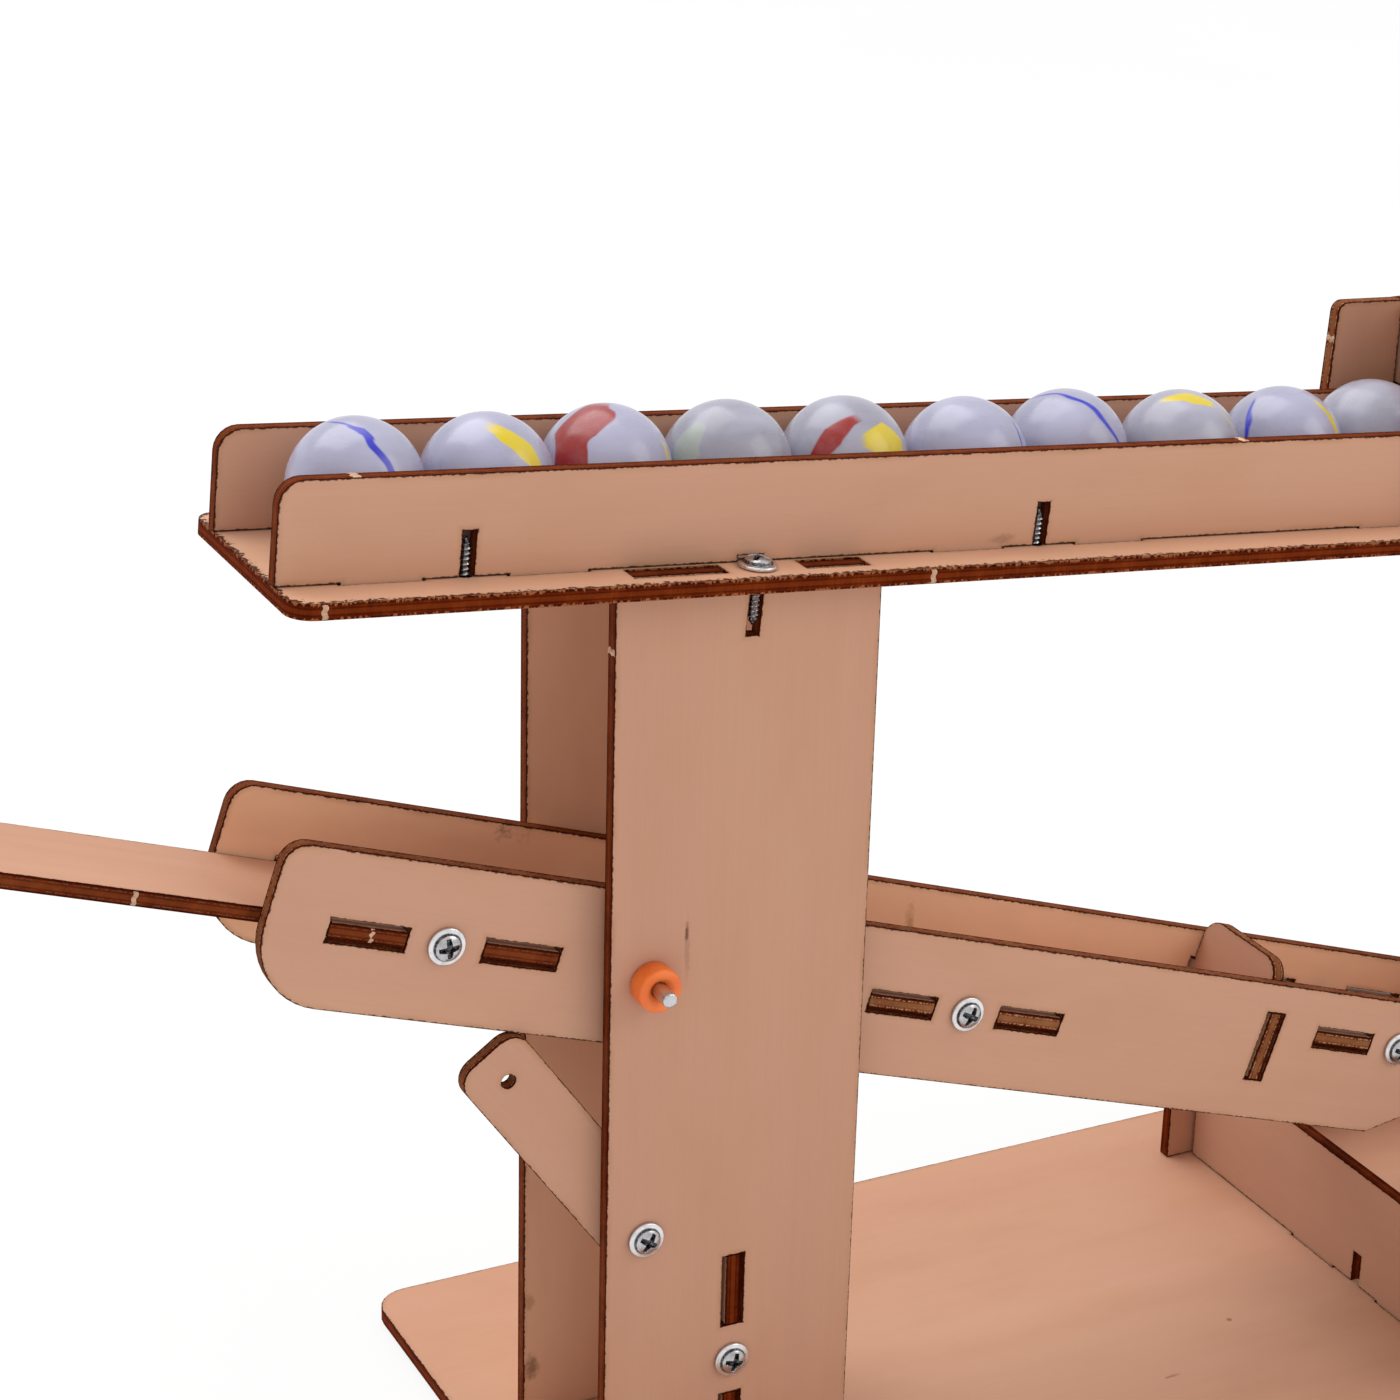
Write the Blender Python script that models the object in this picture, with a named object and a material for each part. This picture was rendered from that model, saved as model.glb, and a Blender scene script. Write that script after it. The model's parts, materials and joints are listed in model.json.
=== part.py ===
"""Wooden marble run: a sloping top channel on two ply towers, over a tilting bucket beam.

Metres, +Z up.  X runs along the channel, -Y is the front.  The origin lies on the underside of
the base board, on the centreline, below the outer edge of the left tower.
"""
import math

import bmesh
import bpy
from mathutils import Matrix, Vector

MM = 0.001

# ---- driving dimensions, in millimetres ----
PLY = 2.0                # thickness of every laser-cut panel
FIT = 0.15               # gap kept between pieces that touch
SLOT_PLAY = 1.2          # a slot is this much wider than the tab in it
TAB_END_PLAY = 0.2       # and this much longer at each end
TAB_NEAR = 5.4           # a tab group: two tabs, this far from the screw between them,
TAB_FAR = 15.6           # and ending this far from it
CORNER = 3.0             # corner radius of the channel's pieces

MARBLE_D = 16.4
MARBLE_COUNT = 10
MARBLE_GAP = 0.1         # between marbles along the channel
MARBLE_STAGGER = 1.0     # each marble's offset to the side
MARBLE_SIDES = (-1, -1, 1, 1, 1, -1, 1, -1, -1, 1)   # towards the front or the rear rail
QUEUE_BACK = 5.0         # from the channel's left end to the first marble
QUEUE_AHEAD = 0.25       # from the last marble to the gate's pads

CHANNEL_SLOPE = 4.7      # degrees, down to the right
CHANNEL_LEFT = -41.7
CHANNEL_END_BACK = 0.7   # the channel ends this far short of the right tower
CHANNEL_PLAY = 2.6       # the channel's inside is this much wider than a marble
RAIL_H = 12.6
RAIL_GROUP_IN = 23.5     # from the rail's left end to its first tab group
RAIL_GROUP_MIDDLE = 60.0
RAIL_GROUP_BACK = 27.4   # from the rail's right end to its last tab group
RAIL_SCREW_SLOT = 5.6
FLOOR_MARGIN = 3.6       # the floor stands this far out past the uprights
DROP_LENGTH = 19.3       # the floor is open this far, at its right end, for the drop

TOWER_W = 36.0
TOWER_HEIGHT = 131.8     # underside of the channel's floor at the left tower's outer edge
ARM_REACH = 33.5         # how far the right tower's upper arms stand out to the left
ARM_LEAN = 2.9           # degrees: the arms' outer ends and the right tower's top lean this far
RIGHT_RISE = 15.0        # the right tower's top, at its left edge, over the left tower's
UPRIGHT_TABS = ((2.0, 14.0), (25.0, 33.3))
UPRIGHT_SCREW = 18.8
UPRIGHT_SCREW_SLOT = 6.4
TOP_SCREW_OUT = 0.5      # the left tower's top screws stand this far out, clear of the rails
ARM_TABS = ((3.0, 9.0), (22.0, 29.0))   # from the arm's outer end
ARM_SCREW = 15.5

BRACE_X = 17.4           # left face of the left tower's brace, from the tower's outer edge
BRACE_SCREW_H = 19.7     # height of the brace's screws over the base board
BRACE_TOP = 40.0
RIGHT_BRACE_X = 24.0
RIGHT_BRACE_H = 55.0     # centre height of the right tower's brace
RIGHT_BRACE_HALF = 18.0
BACK_X = 1.4             # left face of the drop's back panel, from the right tower's edge
BACK_DEPTH = 42.8        # how far it reaches down from the right tower's top
BACK_TAB = (-18.8, -8.8)

BASE_MARGIN_LEFT = 8.0   # how far the base board runs out past the towers
BASE_MARGIN_RIGHT = 10.0
BASE_HALF_W = 49.5
BASE_CORNER = 5.0

FENCE_H = 18.1
FENCE_AHEAD = 27.1       # the left fence stands this far left of the right tower
FENCE_BEHIND = 2.5       # and the right fence this far right of it
FENCE_REAR_Y = 36.0
FENCE_END = 4.4          # how far each fence runs out past the one it crosses
FENCE_GROUP_Y = -7.5
FENCE_GROUP_IN = 33.1    # from the left fence to the tab group of the fences that cross it
FENCE_SCREW_SLOT = 5.0

BEAM_TILT = 18.2         # degrees, down to the right at rest
BEAM_PIVOT_X = 5.5
BEAM_OVER_FENCE = 8.95   # between the beam's lower line and the left fence at rest
BEAM_H = 20.4
BEAM_LEFT = -51.2        # along the beam, from its axle
BEAM_END_BACK = 3.5      # the beam ends this far short of the right tower, along its slope
BEAM_PLAY = 0.8          # the bucket's inside is this much wider than a marble
BEAM_SIDE_PLAY = 1.4     # between each beam wall and its upright
BEAM_GROUP_LEFT = -27.3
BEAM_GROUP_MIDDLE = 51.0
BEAM_TOP_CORNER = 3.0
BEAM_LOW_CORNER = 9.5
TAPER_LENGTH = 25.6      # how far the lower right end rises, from the bucket's tab group on
TAPER_ANGLE = 27.0
LEFT_PLANK_END = -165.0
AXLE_GAP = 5.0           # from the axle to each plank
BUCKET_FLOOR_UP = 3.2    # the bucket's floor lies this much over the planks
BUCKET_LENGTH = 50.8     # from the divider's left face to the beam's right end
DIVIDER_RISE = 2.4       # how far the divider stands over the walls
DIVIDER_TAB = (-4.2, 5.8)
COUNTERWEIGHT_IN = 24.0  # from the left plank's end to the counterweights' middle
COUNTERWEIGHT_L = 46.0
COUNTERWEIGHT_OVERHANG = 4.0  # past the beam walls, each side
COUNTERWEIGHT_COUNT = 3

AXLE_D = 2.0
AXLE_OUT = 6.0           # how far the axle stands out past each upright
RUNNING = 0.05           # radial clearance of the axle in its holes
BUSHING_D = 5.8
BUSHING_L = 3.0
SPACER_D = 4.4

STOP_DROP = 36.7         # the stop arm's screw lies this far under the axle
STOP_W = 10.0
STOP_HOLES = 31.3        # between the arm's two holes
STOP_END = 5.1           # from each hole to the arm's end
STOP_CORNER = 2.8

GATE_AHEAD = 21.25        # the gate's left face is this far left of the right tower
GATE_RISE = 9.2          # the grip's top over the right tower's
GRIP_HALF = 6.0          # half width of the gate's grip
GATE_EAR = 3.0
GATE_PLAY = 0.5
GATE_FLOOR_GAP = 1.0
GATE_PAD_W = 12.0
GATE_PAD_H = 9.0
GATE_PADS = 2

SCREW_D = 1.5
SCREW_HOLE_D = 1.9
SCREW_SLOT_W = 1.8
WASHER_D = 4.9
WASHER_H = 0.45
HEAD_D = 3.6
HEAD_H = 1.35
SCREW_L = 7.5
SHORT_SCREW_L = 5.0
HEAD_SHOULDER = 0.8      # a screw head's shoulder: its share of the head's height and width
PAD_CORNER = 1.5
END_CHAMFER = 0.3        # on the axle's and bushings' ends

ROUND_STEPS = 16
CORNER_STEPS = 6         # in a corner's arc, up to this radius; a larger arc has more
CORNER_STEPS_RADIUS = 5.0

# ---- sizes that follow from them ----
SLOT = PLY + SLOT_PLAY
MARBLE_PITCH = MARBLE_D + MARBLE_GAP
QUEUE_START = CHANNEL_LEFT + QUEUE_BACK + MARBLE_D / 2
QUEUE_END = QUEUE_START + (MARBLE_COUNT - 1) * MARBLE_PITCH + MARBLE_D / 2
RIGHT_TOWER_X = QUEUE_END + QUEUE_AHEAD + GATE_PADS * (PLY + FIT) + GATE_AHEAD
RIGHT_TOP = TOWER_HEIGHT + RIGHT_RISE
ARM_LEFT = RIGHT_TOWER_X - ARM_REACH
CHANNEL_RIGHT = RIGHT_TOWER_X - CHANNEL_END_BACK
DROP_START = CHANNEL_RIGHT - DROP_LENGTH
RAIL_GROUPS = (CHANNEL_LEFT + RAIL_GROUP_IN, RAIL_GROUP_MIDDLE, CHANNEL_RIGHT - RAIL_GROUP_BACK)
BASE_LEFT = -BASE_MARGIN_LEFT
BASE_RIGHT = RIGHT_TOWER_X + TOWER_W + BASE_MARGIN_RIGHT
FENCE_LEFT_X = RIGHT_TOWER_X - FENCE_AHEAD
FENCE_RIGHT_X = RIGHT_TOWER_X + TOWER_W + FENCE_BEHIND
FENCE_GROUP_X = FENCE_LEFT_X + FENCE_GROUP_IN
GATE_X = RIGHT_TOWER_X - GATE_AHEAD
GATE_TOP = RIGHT_TOP + GATE_RISE
CHANNEL_HALF = (MARBLE_D + CHANNEL_PLAY) / 2
BEAM_HALF = (MARBLE_D + BEAM_PLAY) / 2
TOWER_HALF = BEAM_HALF + PLY + BEAM_SIDE_PLAY
FLOOR_HALF = TOWER_HALF + PLY + FLOOR_MARGIN
TOP_SCREW_Y = TOWER_HALF + PLY / 2 + TOP_SCREW_OUT
BASE_TOP = PLY
SLOPE = math.radians(CHANNEL_SLOPE)
TILT = math.radians(BEAM_TILT)
BEAM_PIVOT_Z = (BASE_TOP + FENCE_H + BEAM_OVER_FENCE + BEAM_H / 2 / math.cos(TILT)
                + (FENCE_LEFT_X - BEAM_PIVOT_X) * math.tan(TILT))
BEAM_RIGHT = (RIGHT_TOWER_X - BEAM_PIVOT_X) / math.cos(TILT) - BEAM_END_BACK
TAPER_START = BEAM_RIGHT - TAPER_LENGTH
DIVIDER_S = BEAM_RIGHT - BUCKET_LENGTH
BEAM_GROUPS = (BEAM_GROUP_LEFT, BEAM_GROUP_MIDDLE, TAPER_START)
COUNTERWEIGHT_S = LEFT_PLANK_END + COUNTERWEIGHT_IN

GATE_REST_H = (TOWER_HEIGHT - GATE_X * math.tan(SLOPE)
               + (PLY + RAIL_H) / math.cos(SLOPE) + FIT * 2)


# ---- outlines ----
def fillet(before, corner, after, radius):
    """Points of the arc that rounds one corner of an outline."""
    a = (Vector(before) - Vector(corner)).normalized()
    b = (Vector(after) - Vector(corner)).normalized()
    half = a.angle(b) / 2
    reach = radius / math.tan(half)
    centre = Vector(corner) + (a + b).normalized() * (radius / math.sin(half))
    start = Vector(corner) + a * reach - centre
    end = Vector(corner) + b * reach - centre
    turn = start.angle_signed(end)
    steps = round(CORNER_STEPS * max(1.0, radius / CORNER_STEPS_RADIUS))
    points = []
    for step in range(steps + 1):
        angle = -turn * step / steps
        spun = Matrix.Rotation(angle, 2) @ start
        points.append(tuple(centre + spun))
    return points


def outline(corners, edges=None):
    """Closed outline, counter-clockwise.  corners: (u, v) or (u, v, radius).

    edges gives, per corner number, the features of the edge that starts there, as
    (start, end, depth) along it: a tab where depth is positive, a slot where it is negative.
    """
    edges = edges or {}
    points = []
    count = len(corners)
    for number, corner in enumerate(corners):
        here = corner[:2]
        before = corners[number - 1][:2]
        after = corners[(number + 1) % count][:2]
        if len(corner) > 2:
            points.extend(fillet(before, here, after, corner[2]))
        else:
            points.append(here)
        along = (Vector(after) - Vector(here)).normalized()
        outward = Vector((along.y, -along.x))
        for start, end, depth in edges.get(number, ()):
            first = Vector(here) + along * start
            last = Vector(here) + along * end
            points.extend(tuple(p) for p in (first, first + outward * depth,
                                             last + outward * depth, last))
    return points


def rectangle(low_u, high_u, low_v, high_v):
    return [(low_u, low_v), (high_u, low_v), (high_u, high_v), (low_u, high_v)]


def circle(u, v, diameter):
    steps = [2 * math.pi * step / ROUND_STEPS for step in range(ROUND_STEPS)]
    return [(u + diameter / 2 * math.cos(a), v + diameter / 2 * math.sin(a)) for a in steps]


def tab_group(centre, depth, origin=0.0, flip=False):
    """Two tabs and the screw slot between them, along an edge that starts at origin."""
    spans = [(-TAB_FAR, -TAB_NEAR), (TAB_NEAR, TAB_FAR)]
    sign = -1 if flip else 1
    middle = (centre - origin) * sign
    return [(middle + low, middle + high, depth) for low, high in spans]


def group_edge(centres, tab_depth, screw_depth, origin, flip=False):
    """All the tab groups of one edge, in order, each with its screw slot."""
    features = []
    for centre in centres:
        left, right = tab_group(centre, tab_depth, origin, flip)
        middle = (centre - origin) * (-1 if flip else 1)
        slot = (middle - SCREW_SLOT_W / 2, middle + SCREW_SLOT_W / 2, -screw_depth)
        features.extend([left, slot, right])
    return sorted(features)


def slots_for_group(centre, low, high, along_u=True):
    """The two slots that take a tab group, across from low to high."""
    slots = []
    for near, far in ((-TAB_FAR, -TAB_NEAR), (TAB_NEAR, TAB_FAR)):
        start = centre + near - TAB_END_PLAY
        end = centre + far + TAB_END_PLAY
        slots.append(rectangle(start, end, low, high) if along_u
                     else rectangle(low, high, start, end))
    return slots


# ---- materials ----
def finish(name, colour, roughness, metallic=0.0):
    material = bpy.data.materials.new(name)
    material.use_nodes = True
    shader = material.node_tree.nodes["Principled BSDF"]
    shader.inputs["Base Color"].default_value = (*colour, 1.0)
    shader.inputs["Roughness"].default_value = roughness
    shader.inputs["Metallic"].default_value = metallic
    return material


def ply_finish(name):
    return finish(name + "_ply", (0.62, 0.42, 0.28), 0.6)


def steel_finish(name):
    return finish(name + "_steel", (0.72, 0.72, 0.74), 0.25, 1.0)


def orange_finish(name):
    return finish(name + "_orange", (0.88, 0.22, 0.04), 0.4)


def glass_finish(name):
    return finish(name + "_glass", (0.66, 0.70, 0.82), 0.1)


# ---- placing ----
XZ = Matrix(((1, 0, 0, 0), (0, 0, -1, 0), (0, 1, 0, 0), (0, 0, 0, 1)))
YZ = Matrix(((0, 0, 1, 0), (1, 0, 0, 0), (0, 1, 0, 0), (0, 0, 0, 1)))
XY = Matrix.Identity(4)


def add_object(name, data, place, parent, material):
    thing = bpy.data.objects.new(name, data)
    bpy.context.scene.collection.objects.link(thing)
    thing.parent = parent
    thing.matrix_local = place
    data.materials.append(material)
    return thing


def add_frame(name, x, z, tilt):
    """Empty that carries a tilted group of pieces."""
    frame = bpy.data.objects.new(name, None)
    bpy.context.scene.collection.objects.link(frame)
    frame.matrix_local = Matrix.Translation((x * MM, 0, z * MM)) @ Matrix.Rotation(tilt, 4, "Y")
    return frame


def panel(name, shape, holes, plane, middle, parent=None, origin=(0.0, 0.0)):
    """Flat laser-cut panel.  middle is its mid-plane's place along the panel's own normal."""
    curve = bpy.data.curves.new(name, "CURVE")
    curve.dimensions = "2D"
    curve.fill_mode = "BOTH"
    curve.extrude = PLY / 2 * MM
    for loop in [shape] + list(holes):
        spline = curve.splines.new("POLY")
        spline.points.add(len(loop) - 1)
        for point, (u, v) in zip(spline.points, loop):
            point.co = ((u - origin[0]) * MM, (v - origin[1]) * MM, 0, 1)
        spline.use_cyclic_u = True
    offset = Vector((origin[0], origin[1], -middle if plane is XZ else middle)) * MM
    place = plane @ Matrix.Translation(offset)
    return add_object(name, curve, place, parent, ply_finish(name))


def turned(name, profile, place, parent, material):
    """Solid turned about its own Z.  profile: (radius, height) from one end to the other;

    a radius of 0 closes an end, and a profile that starts and ends off the axis is a ring.
    """
    mesh = bpy.data.meshes.new(name)
    work = bmesh.new()
    rings = []
    for radius, height in profile:
        if radius == 0:
            rings.append([work.verts.new((0, 0, height * MM))])
            continue
        ring = []
        for u, v in circle(0, 0, 2 * radius):
            ring.append(work.verts.new((u * MM, v * MM, height * MM)))
        rings.append(ring)
    is_ring = profile[0][0] > 0
    pairs = list(zip(rings, rings[1:]))
    if is_ring:
        pairs.append((rings[-1], rings[0]))
    for low, high in pairs:
        for step in range(ROUND_STEPS):
            after = (step + 1) % ROUND_STEPS
            if len(low) == 1:
                work.faces.new((low[0], high[after], high[step]))
            elif len(high) == 1:
                work.faces.new((low[step], low[after], high[0]))
            else:
                work.faces.new((low[step], low[after], high[after], high[step]))
    bmesh.ops.recalc_face_normals(work, faces=work.faces)
    work.to_mesh(mesh)
    work.free()
    mesh.shade_smooth()
    mesh.set_sharp_from_angle(angle=math.radians(35))
    return add_object(name, mesh, place, parent, material)


def screw(name, point, direction, parent=None, length=SCREW_L):
    """Washer-head screw whose head rests on point; its shank runs along direction."""
    profile = [(0, length), (SCREW_D / 2, length - SCREW_D / 2), (SCREW_D / 2, 0),
               (WASHER_D / 2, 0), (WASHER_D / 2, -WASHER_H), (HEAD_D / 2, -WASHER_H),
               (HEAD_D / 2 * HEAD_SHOULDER, -HEAD_H * HEAD_SHOULDER), (0, -HEAD_H)]
    turn = Vector((0, 0, 1)).rotation_difference(Vector(direction)).to_matrix().to_4x4()
    seat = (Vector(point) - Vector(direction) * FIT) * MM
    return turned(name, profile, Matrix.Translation(seat) @ turn, parent, steel_finish(name))


# ---- the channel ----
def channel_xz(s, n):
    """World x and z of a point of the sloping channel."""
    x = s * math.cos(SLOPE) + n * math.sin(SLOPE)
    z = TOWER_HEIGHT - s * math.sin(SLOPE) + n * math.cos(SLOPE)
    return x, z


def floor_line(x, above):
    """Height at x of the line this far over the channel floor's underside."""
    return TOWER_HEIGHT - x * math.tan(SLOPE) + above / math.cos(SLOPE)


def along_channel(x):
    return x / math.cos(SLOPE)


def along_arm(reach):
    """Place along the channel of a point of an upper arm's lower edge, from the arm's outer end."""
    return along_channel(ARM_LEFT + reach) - (PLY + FIT) * math.tan(SLOPE)


def channel_floor(frame):
    left = CHANNEL_LEFT
    right = CHANNEL_RIGHT
    notch = CHANNEL_HALF - FIT * 2
    corners = [(left, -FLOOR_HALF, CORNER), (right, -FLOOR_HALF), (right, -notch),
               (DROP_START, -notch), (DROP_START, notch), (right, notch), (right, FLOOR_HALF),
               (left, FLOOR_HALF, CORNER)]
    holes = []
    for side in (-1, 1):
        rail = sorted((side * (CHANNEL_HALF + PLY + FIT), side * (CHANNEL_HALF - FIT)))
        for centre in RAIL_GROUPS:
            holes.extend(slots_for_group(centre, *rail))
            holes.append(circle(centre, side * (CHANNEL_HALF + PLY / 2), SCREW_HOLE_D))
        upright = sorted((side * (TOWER_HALF - FIT), side * (TOWER_HALF + SLOT - FIT)))
        for low, high in UPRIGHT_TABS:
            holes.append(rectangle(along_channel(low) - TAB_END_PLAY,
                                   along_channel(high) + TAB_END_PLAY, *upright))
        for low, high in ARM_TABS:
            holes.append(rectangle(along_arm(low) - TAB_END_PLAY, along_arm(high) + TAB_END_PLAY,
                                   *upright))
        holes.append(circle(along_channel(UPRIGHT_SCREW), side * TOP_SCREW_Y, SCREW_HOLE_D))
        holes.append(circle(along_arm(ARM_SCREW), side * (TOWER_HALF + PLY / 2), SCREW_HOLE_D))
    return panel("channel_floor", outline(corners), holes, XY, PLY / 2, frame)


def channel_rail(name, side, frame):
    bottom = PLY + FIT
    top = PLY + RAIL_H
    corners = [(CHANNEL_LEFT, bottom), (CHANNEL_RIGHT, bottom), (CHANNEL_RIGHT, top),
               (CHANNEL_LEFT, top, CORNER)]
    features = group_edge(RAIL_GROUPS, PLY, RAIL_SCREW_SLOT, CHANNEL_LEFT)
    head = along_channel(UPRIGHT_SCREW) - CHANNEL_LEFT
    inset = TOP_SCREW_Y - CHANNEL_HALF - PLY
    half = math.sqrt(max(0.0, (WASHER_D / 2) ** 2 - inset ** 2)) + FIT * 2
    features = sorted(features + [(head - half, head + half, -(WASHER_H + FIT * 2))])
    middle = side * (CHANNEL_HALF + PLY / 2)
    panel(name, outline(corners, {0: features}), [], XZ, middle, frame)


def channel_screws(frame):
    for number, centre in enumerate(RAIL_GROUPS, 1):
        point = (centre, -(CHANNEL_HALF + PLY / 2), 0)
        screw(f"front_rail_screw_{number}", point, (0, 0, 1), frame, SHORT_SCREW_L + PLY)
    for name, side in (("front", -1), ("rear", 1)):
        point = (along_channel(UPRIGHT_SCREW), side * TOP_SCREW_Y, PLY)
        screw(f"left_tower_{name}_top_screw", point, (0, 0, -1), frame)
        point = (along_arm(ARM_SCREW), side * (TOWER_HALF + PLY / 2), 0)
        screw(f"right_arm_{name}_screw", point, (0, 0, 1), frame)


def marbles():
    for number in range(MARBLE_COUNT):
        mesh = bpy.data.meshes.new(f"marble_{number + 1}")
        work = bmesh.new()
        bmesh.ops.create_icosphere(work, subdivisions=2, radius=MARBLE_D / 2 * MM)
        work.to_mesh(mesh)
        work.free()
        mesh.shade_smooth()
        side = MARBLE_STAGGER * MARBLE_SIDES[number % len(MARBLE_SIDES)]
        s = QUEUE_START + number * MARBLE_PITCH
        x, z = channel_xz(s, PLY + MARBLE_D / 2 + FIT)
        place = Matrix.Translation((x * MM, side * MM, z * MM))
        add_object(mesh.name, mesh, place, None, glass_finish(mesh.name))


# ---- the towers ----
def base_board():
    corners = [(BASE_LEFT, -BASE_HALF_W, BASE_CORNER), (BASE_RIGHT, -BASE_HALF_W, BASE_CORNER),
               (BASE_RIGHT, BASE_HALF_W, BASE_CORNER), (BASE_LEFT, BASE_HALF_W, BASE_CORNER)]
    holes = []
    for side in (-1, 1):
        across = sorted((side * (TOWER_HALF - FIT), side * (TOWER_HALF + SLOT - FIT)))
        for tower in (0.0, RIGHT_TOWER_X):
            for low, high in UPRIGHT_TABS:
                holes.append(rectangle(tower + low - TAB_END_PLAY, tower + high + TAB_END_PLAY,
                                       *across))
        across = sorted((side * (FENCE_REAR_Y - FIT), side * (FENCE_REAR_Y + SLOT - FIT)))
        holes.extend(slots_for_group(FENCE_GROUP_X, *across))
    for x in (FENCE_LEFT_X, FENCE_RIGHT_X):
        holes.extend(slots_for_group(FENCE_GROUP_Y, x - FIT, x + SLOT - FIT, along_u=False))
    return panel("base_board", outline(corners), holes, XY, PLY / 2)


def foot_edge():
    """Tabs of an upright's lower edge, into the base board."""
    return [(low, high, PLY) for low, high in UPRIGHT_TABS]


def brace_slots(left, centre):
    """Two tab slots and a screw hole in an upright, for a brace that crosses it."""
    low = left + PLY / 2 - SLOT / 2
    slots = slots_for_group(centre, low, low + SLOT, along_u=False)
    return slots + [circle(left + PLY / 2, centre, SCREW_HOLE_D)]


def left_upright(name, side):
    foot = BASE_TOP + FIT
    top_left = floor_line(0.0, -FIT)
    top_right = floor_line(TOWER_W, -FIT)
    length = TOWER_W / math.cos(SLOPE)
    top_tabs = [(length - along_channel(high), length - along_channel(low), PLY)
                for low, high in UPRIGHT_TABS]
    screw_at = length - along_channel(UPRIGHT_SCREW)
    top_tabs.append((screw_at - SCREW_SLOT_W / 2, screw_at + SCREW_SLOT_W / 2,
                     -UPRIGHT_SCREW_SLOT))
    corners = [(0.0, foot), (TOWER_W, foot), (TOWER_W, top_right), (0.0, top_left)]
    shape = outline(corners, {0: foot_edge(), 2: sorted(top_tabs)})
    holes = brace_slots(BRACE_X, BASE_TOP + BRACE_SCREW_H)
    holes.append(circle(BEAM_PIVOT_X, BEAM_PIVOT_Z, AXLE_D + 2 * RUNNING))
    if side < 0:
        holes.append(circle(BEAM_PIVOT_X, BEAM_PIVOT_Z - STOP_DROP, SCREW_HOLE_D))
    return panel(name, shape, holes, XZ, side * (TOWER_HALF + PLY / 2))


def arm_top(x):
    """Height at x of the right tower's leaning top edge."""
    return RIGHT_TOP + (RIGHT_TOWER_X - x) * math.tan(math.radians(ARM_LEAN))


def right_upright(name, side):
    """Upright whose upper arm lies along the channel floor's outer edge."""
    foot = BASE_TOP + FIT
    left = RIGHT_TOWER_X
    right = left + TOWER_W
    arm_low = floor_line(ARM_LEFT, PLY + FIT)
    inner_low = floor_line(left, PLY + FIT)
    arm_high = arm_top(ARM_LEFT)
    outer_end = ARM_LEFT + (arm_high - arm_low) * math.tan(math.radians(ARM_LEAN))
    slot_left = GATE_X - FIT * 2
    slot_right = GATE_X + PLY + FIT * 2
    edge = [(along_channel(low), along_channel(high), PLY) for low, high in ARM_TABS]
    screw_at = along_channel(ARM_SCREW)
    edge.append((screw_at - SCREW_SLOT_W / 2, screw_at + SCREW_SLOT_W / 2,
                 -UPRIGHT_SCREW_SLOT))
    corners = [(left, foot), (right, foot), (right, arm_top(right), CORNER),
               (slot_right, arm_top(slot_right)), (slot_right, GATE_REST_H),
               (slot_left, GATE_REST_H), (slot_left, arm_top(slot_left)),
               (outer_end, arm_high, CORNER / 2), (ARM_LEFT, arm_low), (left, inner_low)]
    shape = outline(corners, {0: foot_edge(), 8: sorted(edge)})
    holes = brace_slots(left + RIGHT_BRACE_X, RIGHT_BRACE_H)
    back = left + BACK_X + PLY / 2
    holes.append(rectangle(back - SLOT / 2, back + SLOT / 2,
                           RIGHT_TOP + BACK_TAB[0] - TAB_END_PLAY,
                           RIGHT_TOP + BACK_TAB[1] + TAB_END_PLAY))
    return panel(name, shape, holes, XZ, side * (TOWER_HALF + PLY / 2))


def brace(name, left, centre, low, high):
    """Panel across a tower, with two tabs and a screw slot at each side."""
    half = TOWER_HALF - FIT
    corners = [(-half, low), (half, low), (half, high), (-half, high)]
    right = group_edge([centre], PLY + FIT, UPRIGHT_SCREW_SLOT, low)
    left_side = group_edge([centre], PLY + FIT, UPRIGHT_SCREW_SLOT, high, flip=True)
    panel(name, outline(corners, {1: right, 3: left_side}), [], YZ, left + PLY / 2)


def drop_back_panel():
    half = TOWER_HALF - FIT
    low, high = RIGHT_TOP - BACK_DEPTH, RIGHT_TOP - CORNER
    corners = [(-half, low, CORNER), (half, low, CORNER), (half, high), (-half, high)]
    tab_low, tab_high = (RIGHT_TOP + height for height in BACK_TAB)
    edges = {1: [(tab_low - low, tab_high - low, PLY + FIT)],
             3: [(high - tab_high, high - tab_low, PLY + FIT)]}
    panel("drop_back_panel", outline(corners, edges), [], YZ, RIGHT_TOWER_X + BACK_X + PLY / 2)


def tower_screws():
    for name, side in (("front", -1), ("rear", 1)):
        point = (BRACE_X + PLY / 2, side * (TOWER_HALF + PLY), BASE_TOP + BRACE_SCREW_H)
        screw(f"left_brace_{name}_screw", point, (0, -side, 0))
    point = (BEAM_PIVOT_X, -(TOWER_HALF + PLY), BEAM_PIVOT_Z - STOP_DROP)
    screw("stop_arm_screw", point, (0, 1, 0), None, SHORT_SCREW_L)


# ---- the tray ----
def fence_y(name, left, screw_slot):
    """Fence across the tray, lapped over the front and rear fences."""
    half = FENCE_REAR_Y + PLY + FENCE_END
    low = BASE_TOP + FIT
    high = BASE_TOP + FENCE_H
    middle = (low + high) / 2
    lap = SLOT / 2
    crossing = FENCE_REAR_Y + PLY / 2
    corners = [(-half, low), (half, low), (half, high), (-half, high)]
    laps = [(half - crossing - lap, half - crossing + lap, -(middle - low + FIT)),
            (half + crossing - lap, half + crossing + lap, -(middle - low + FIT))]
    tabs = group_edge([FENCE_GROUP_Y], PLY, screw_slot, -half)
    panel(name, outline(corners, {0: sorted(laps + tabs)}), [], YZ, left + PLY / 2)


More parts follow.
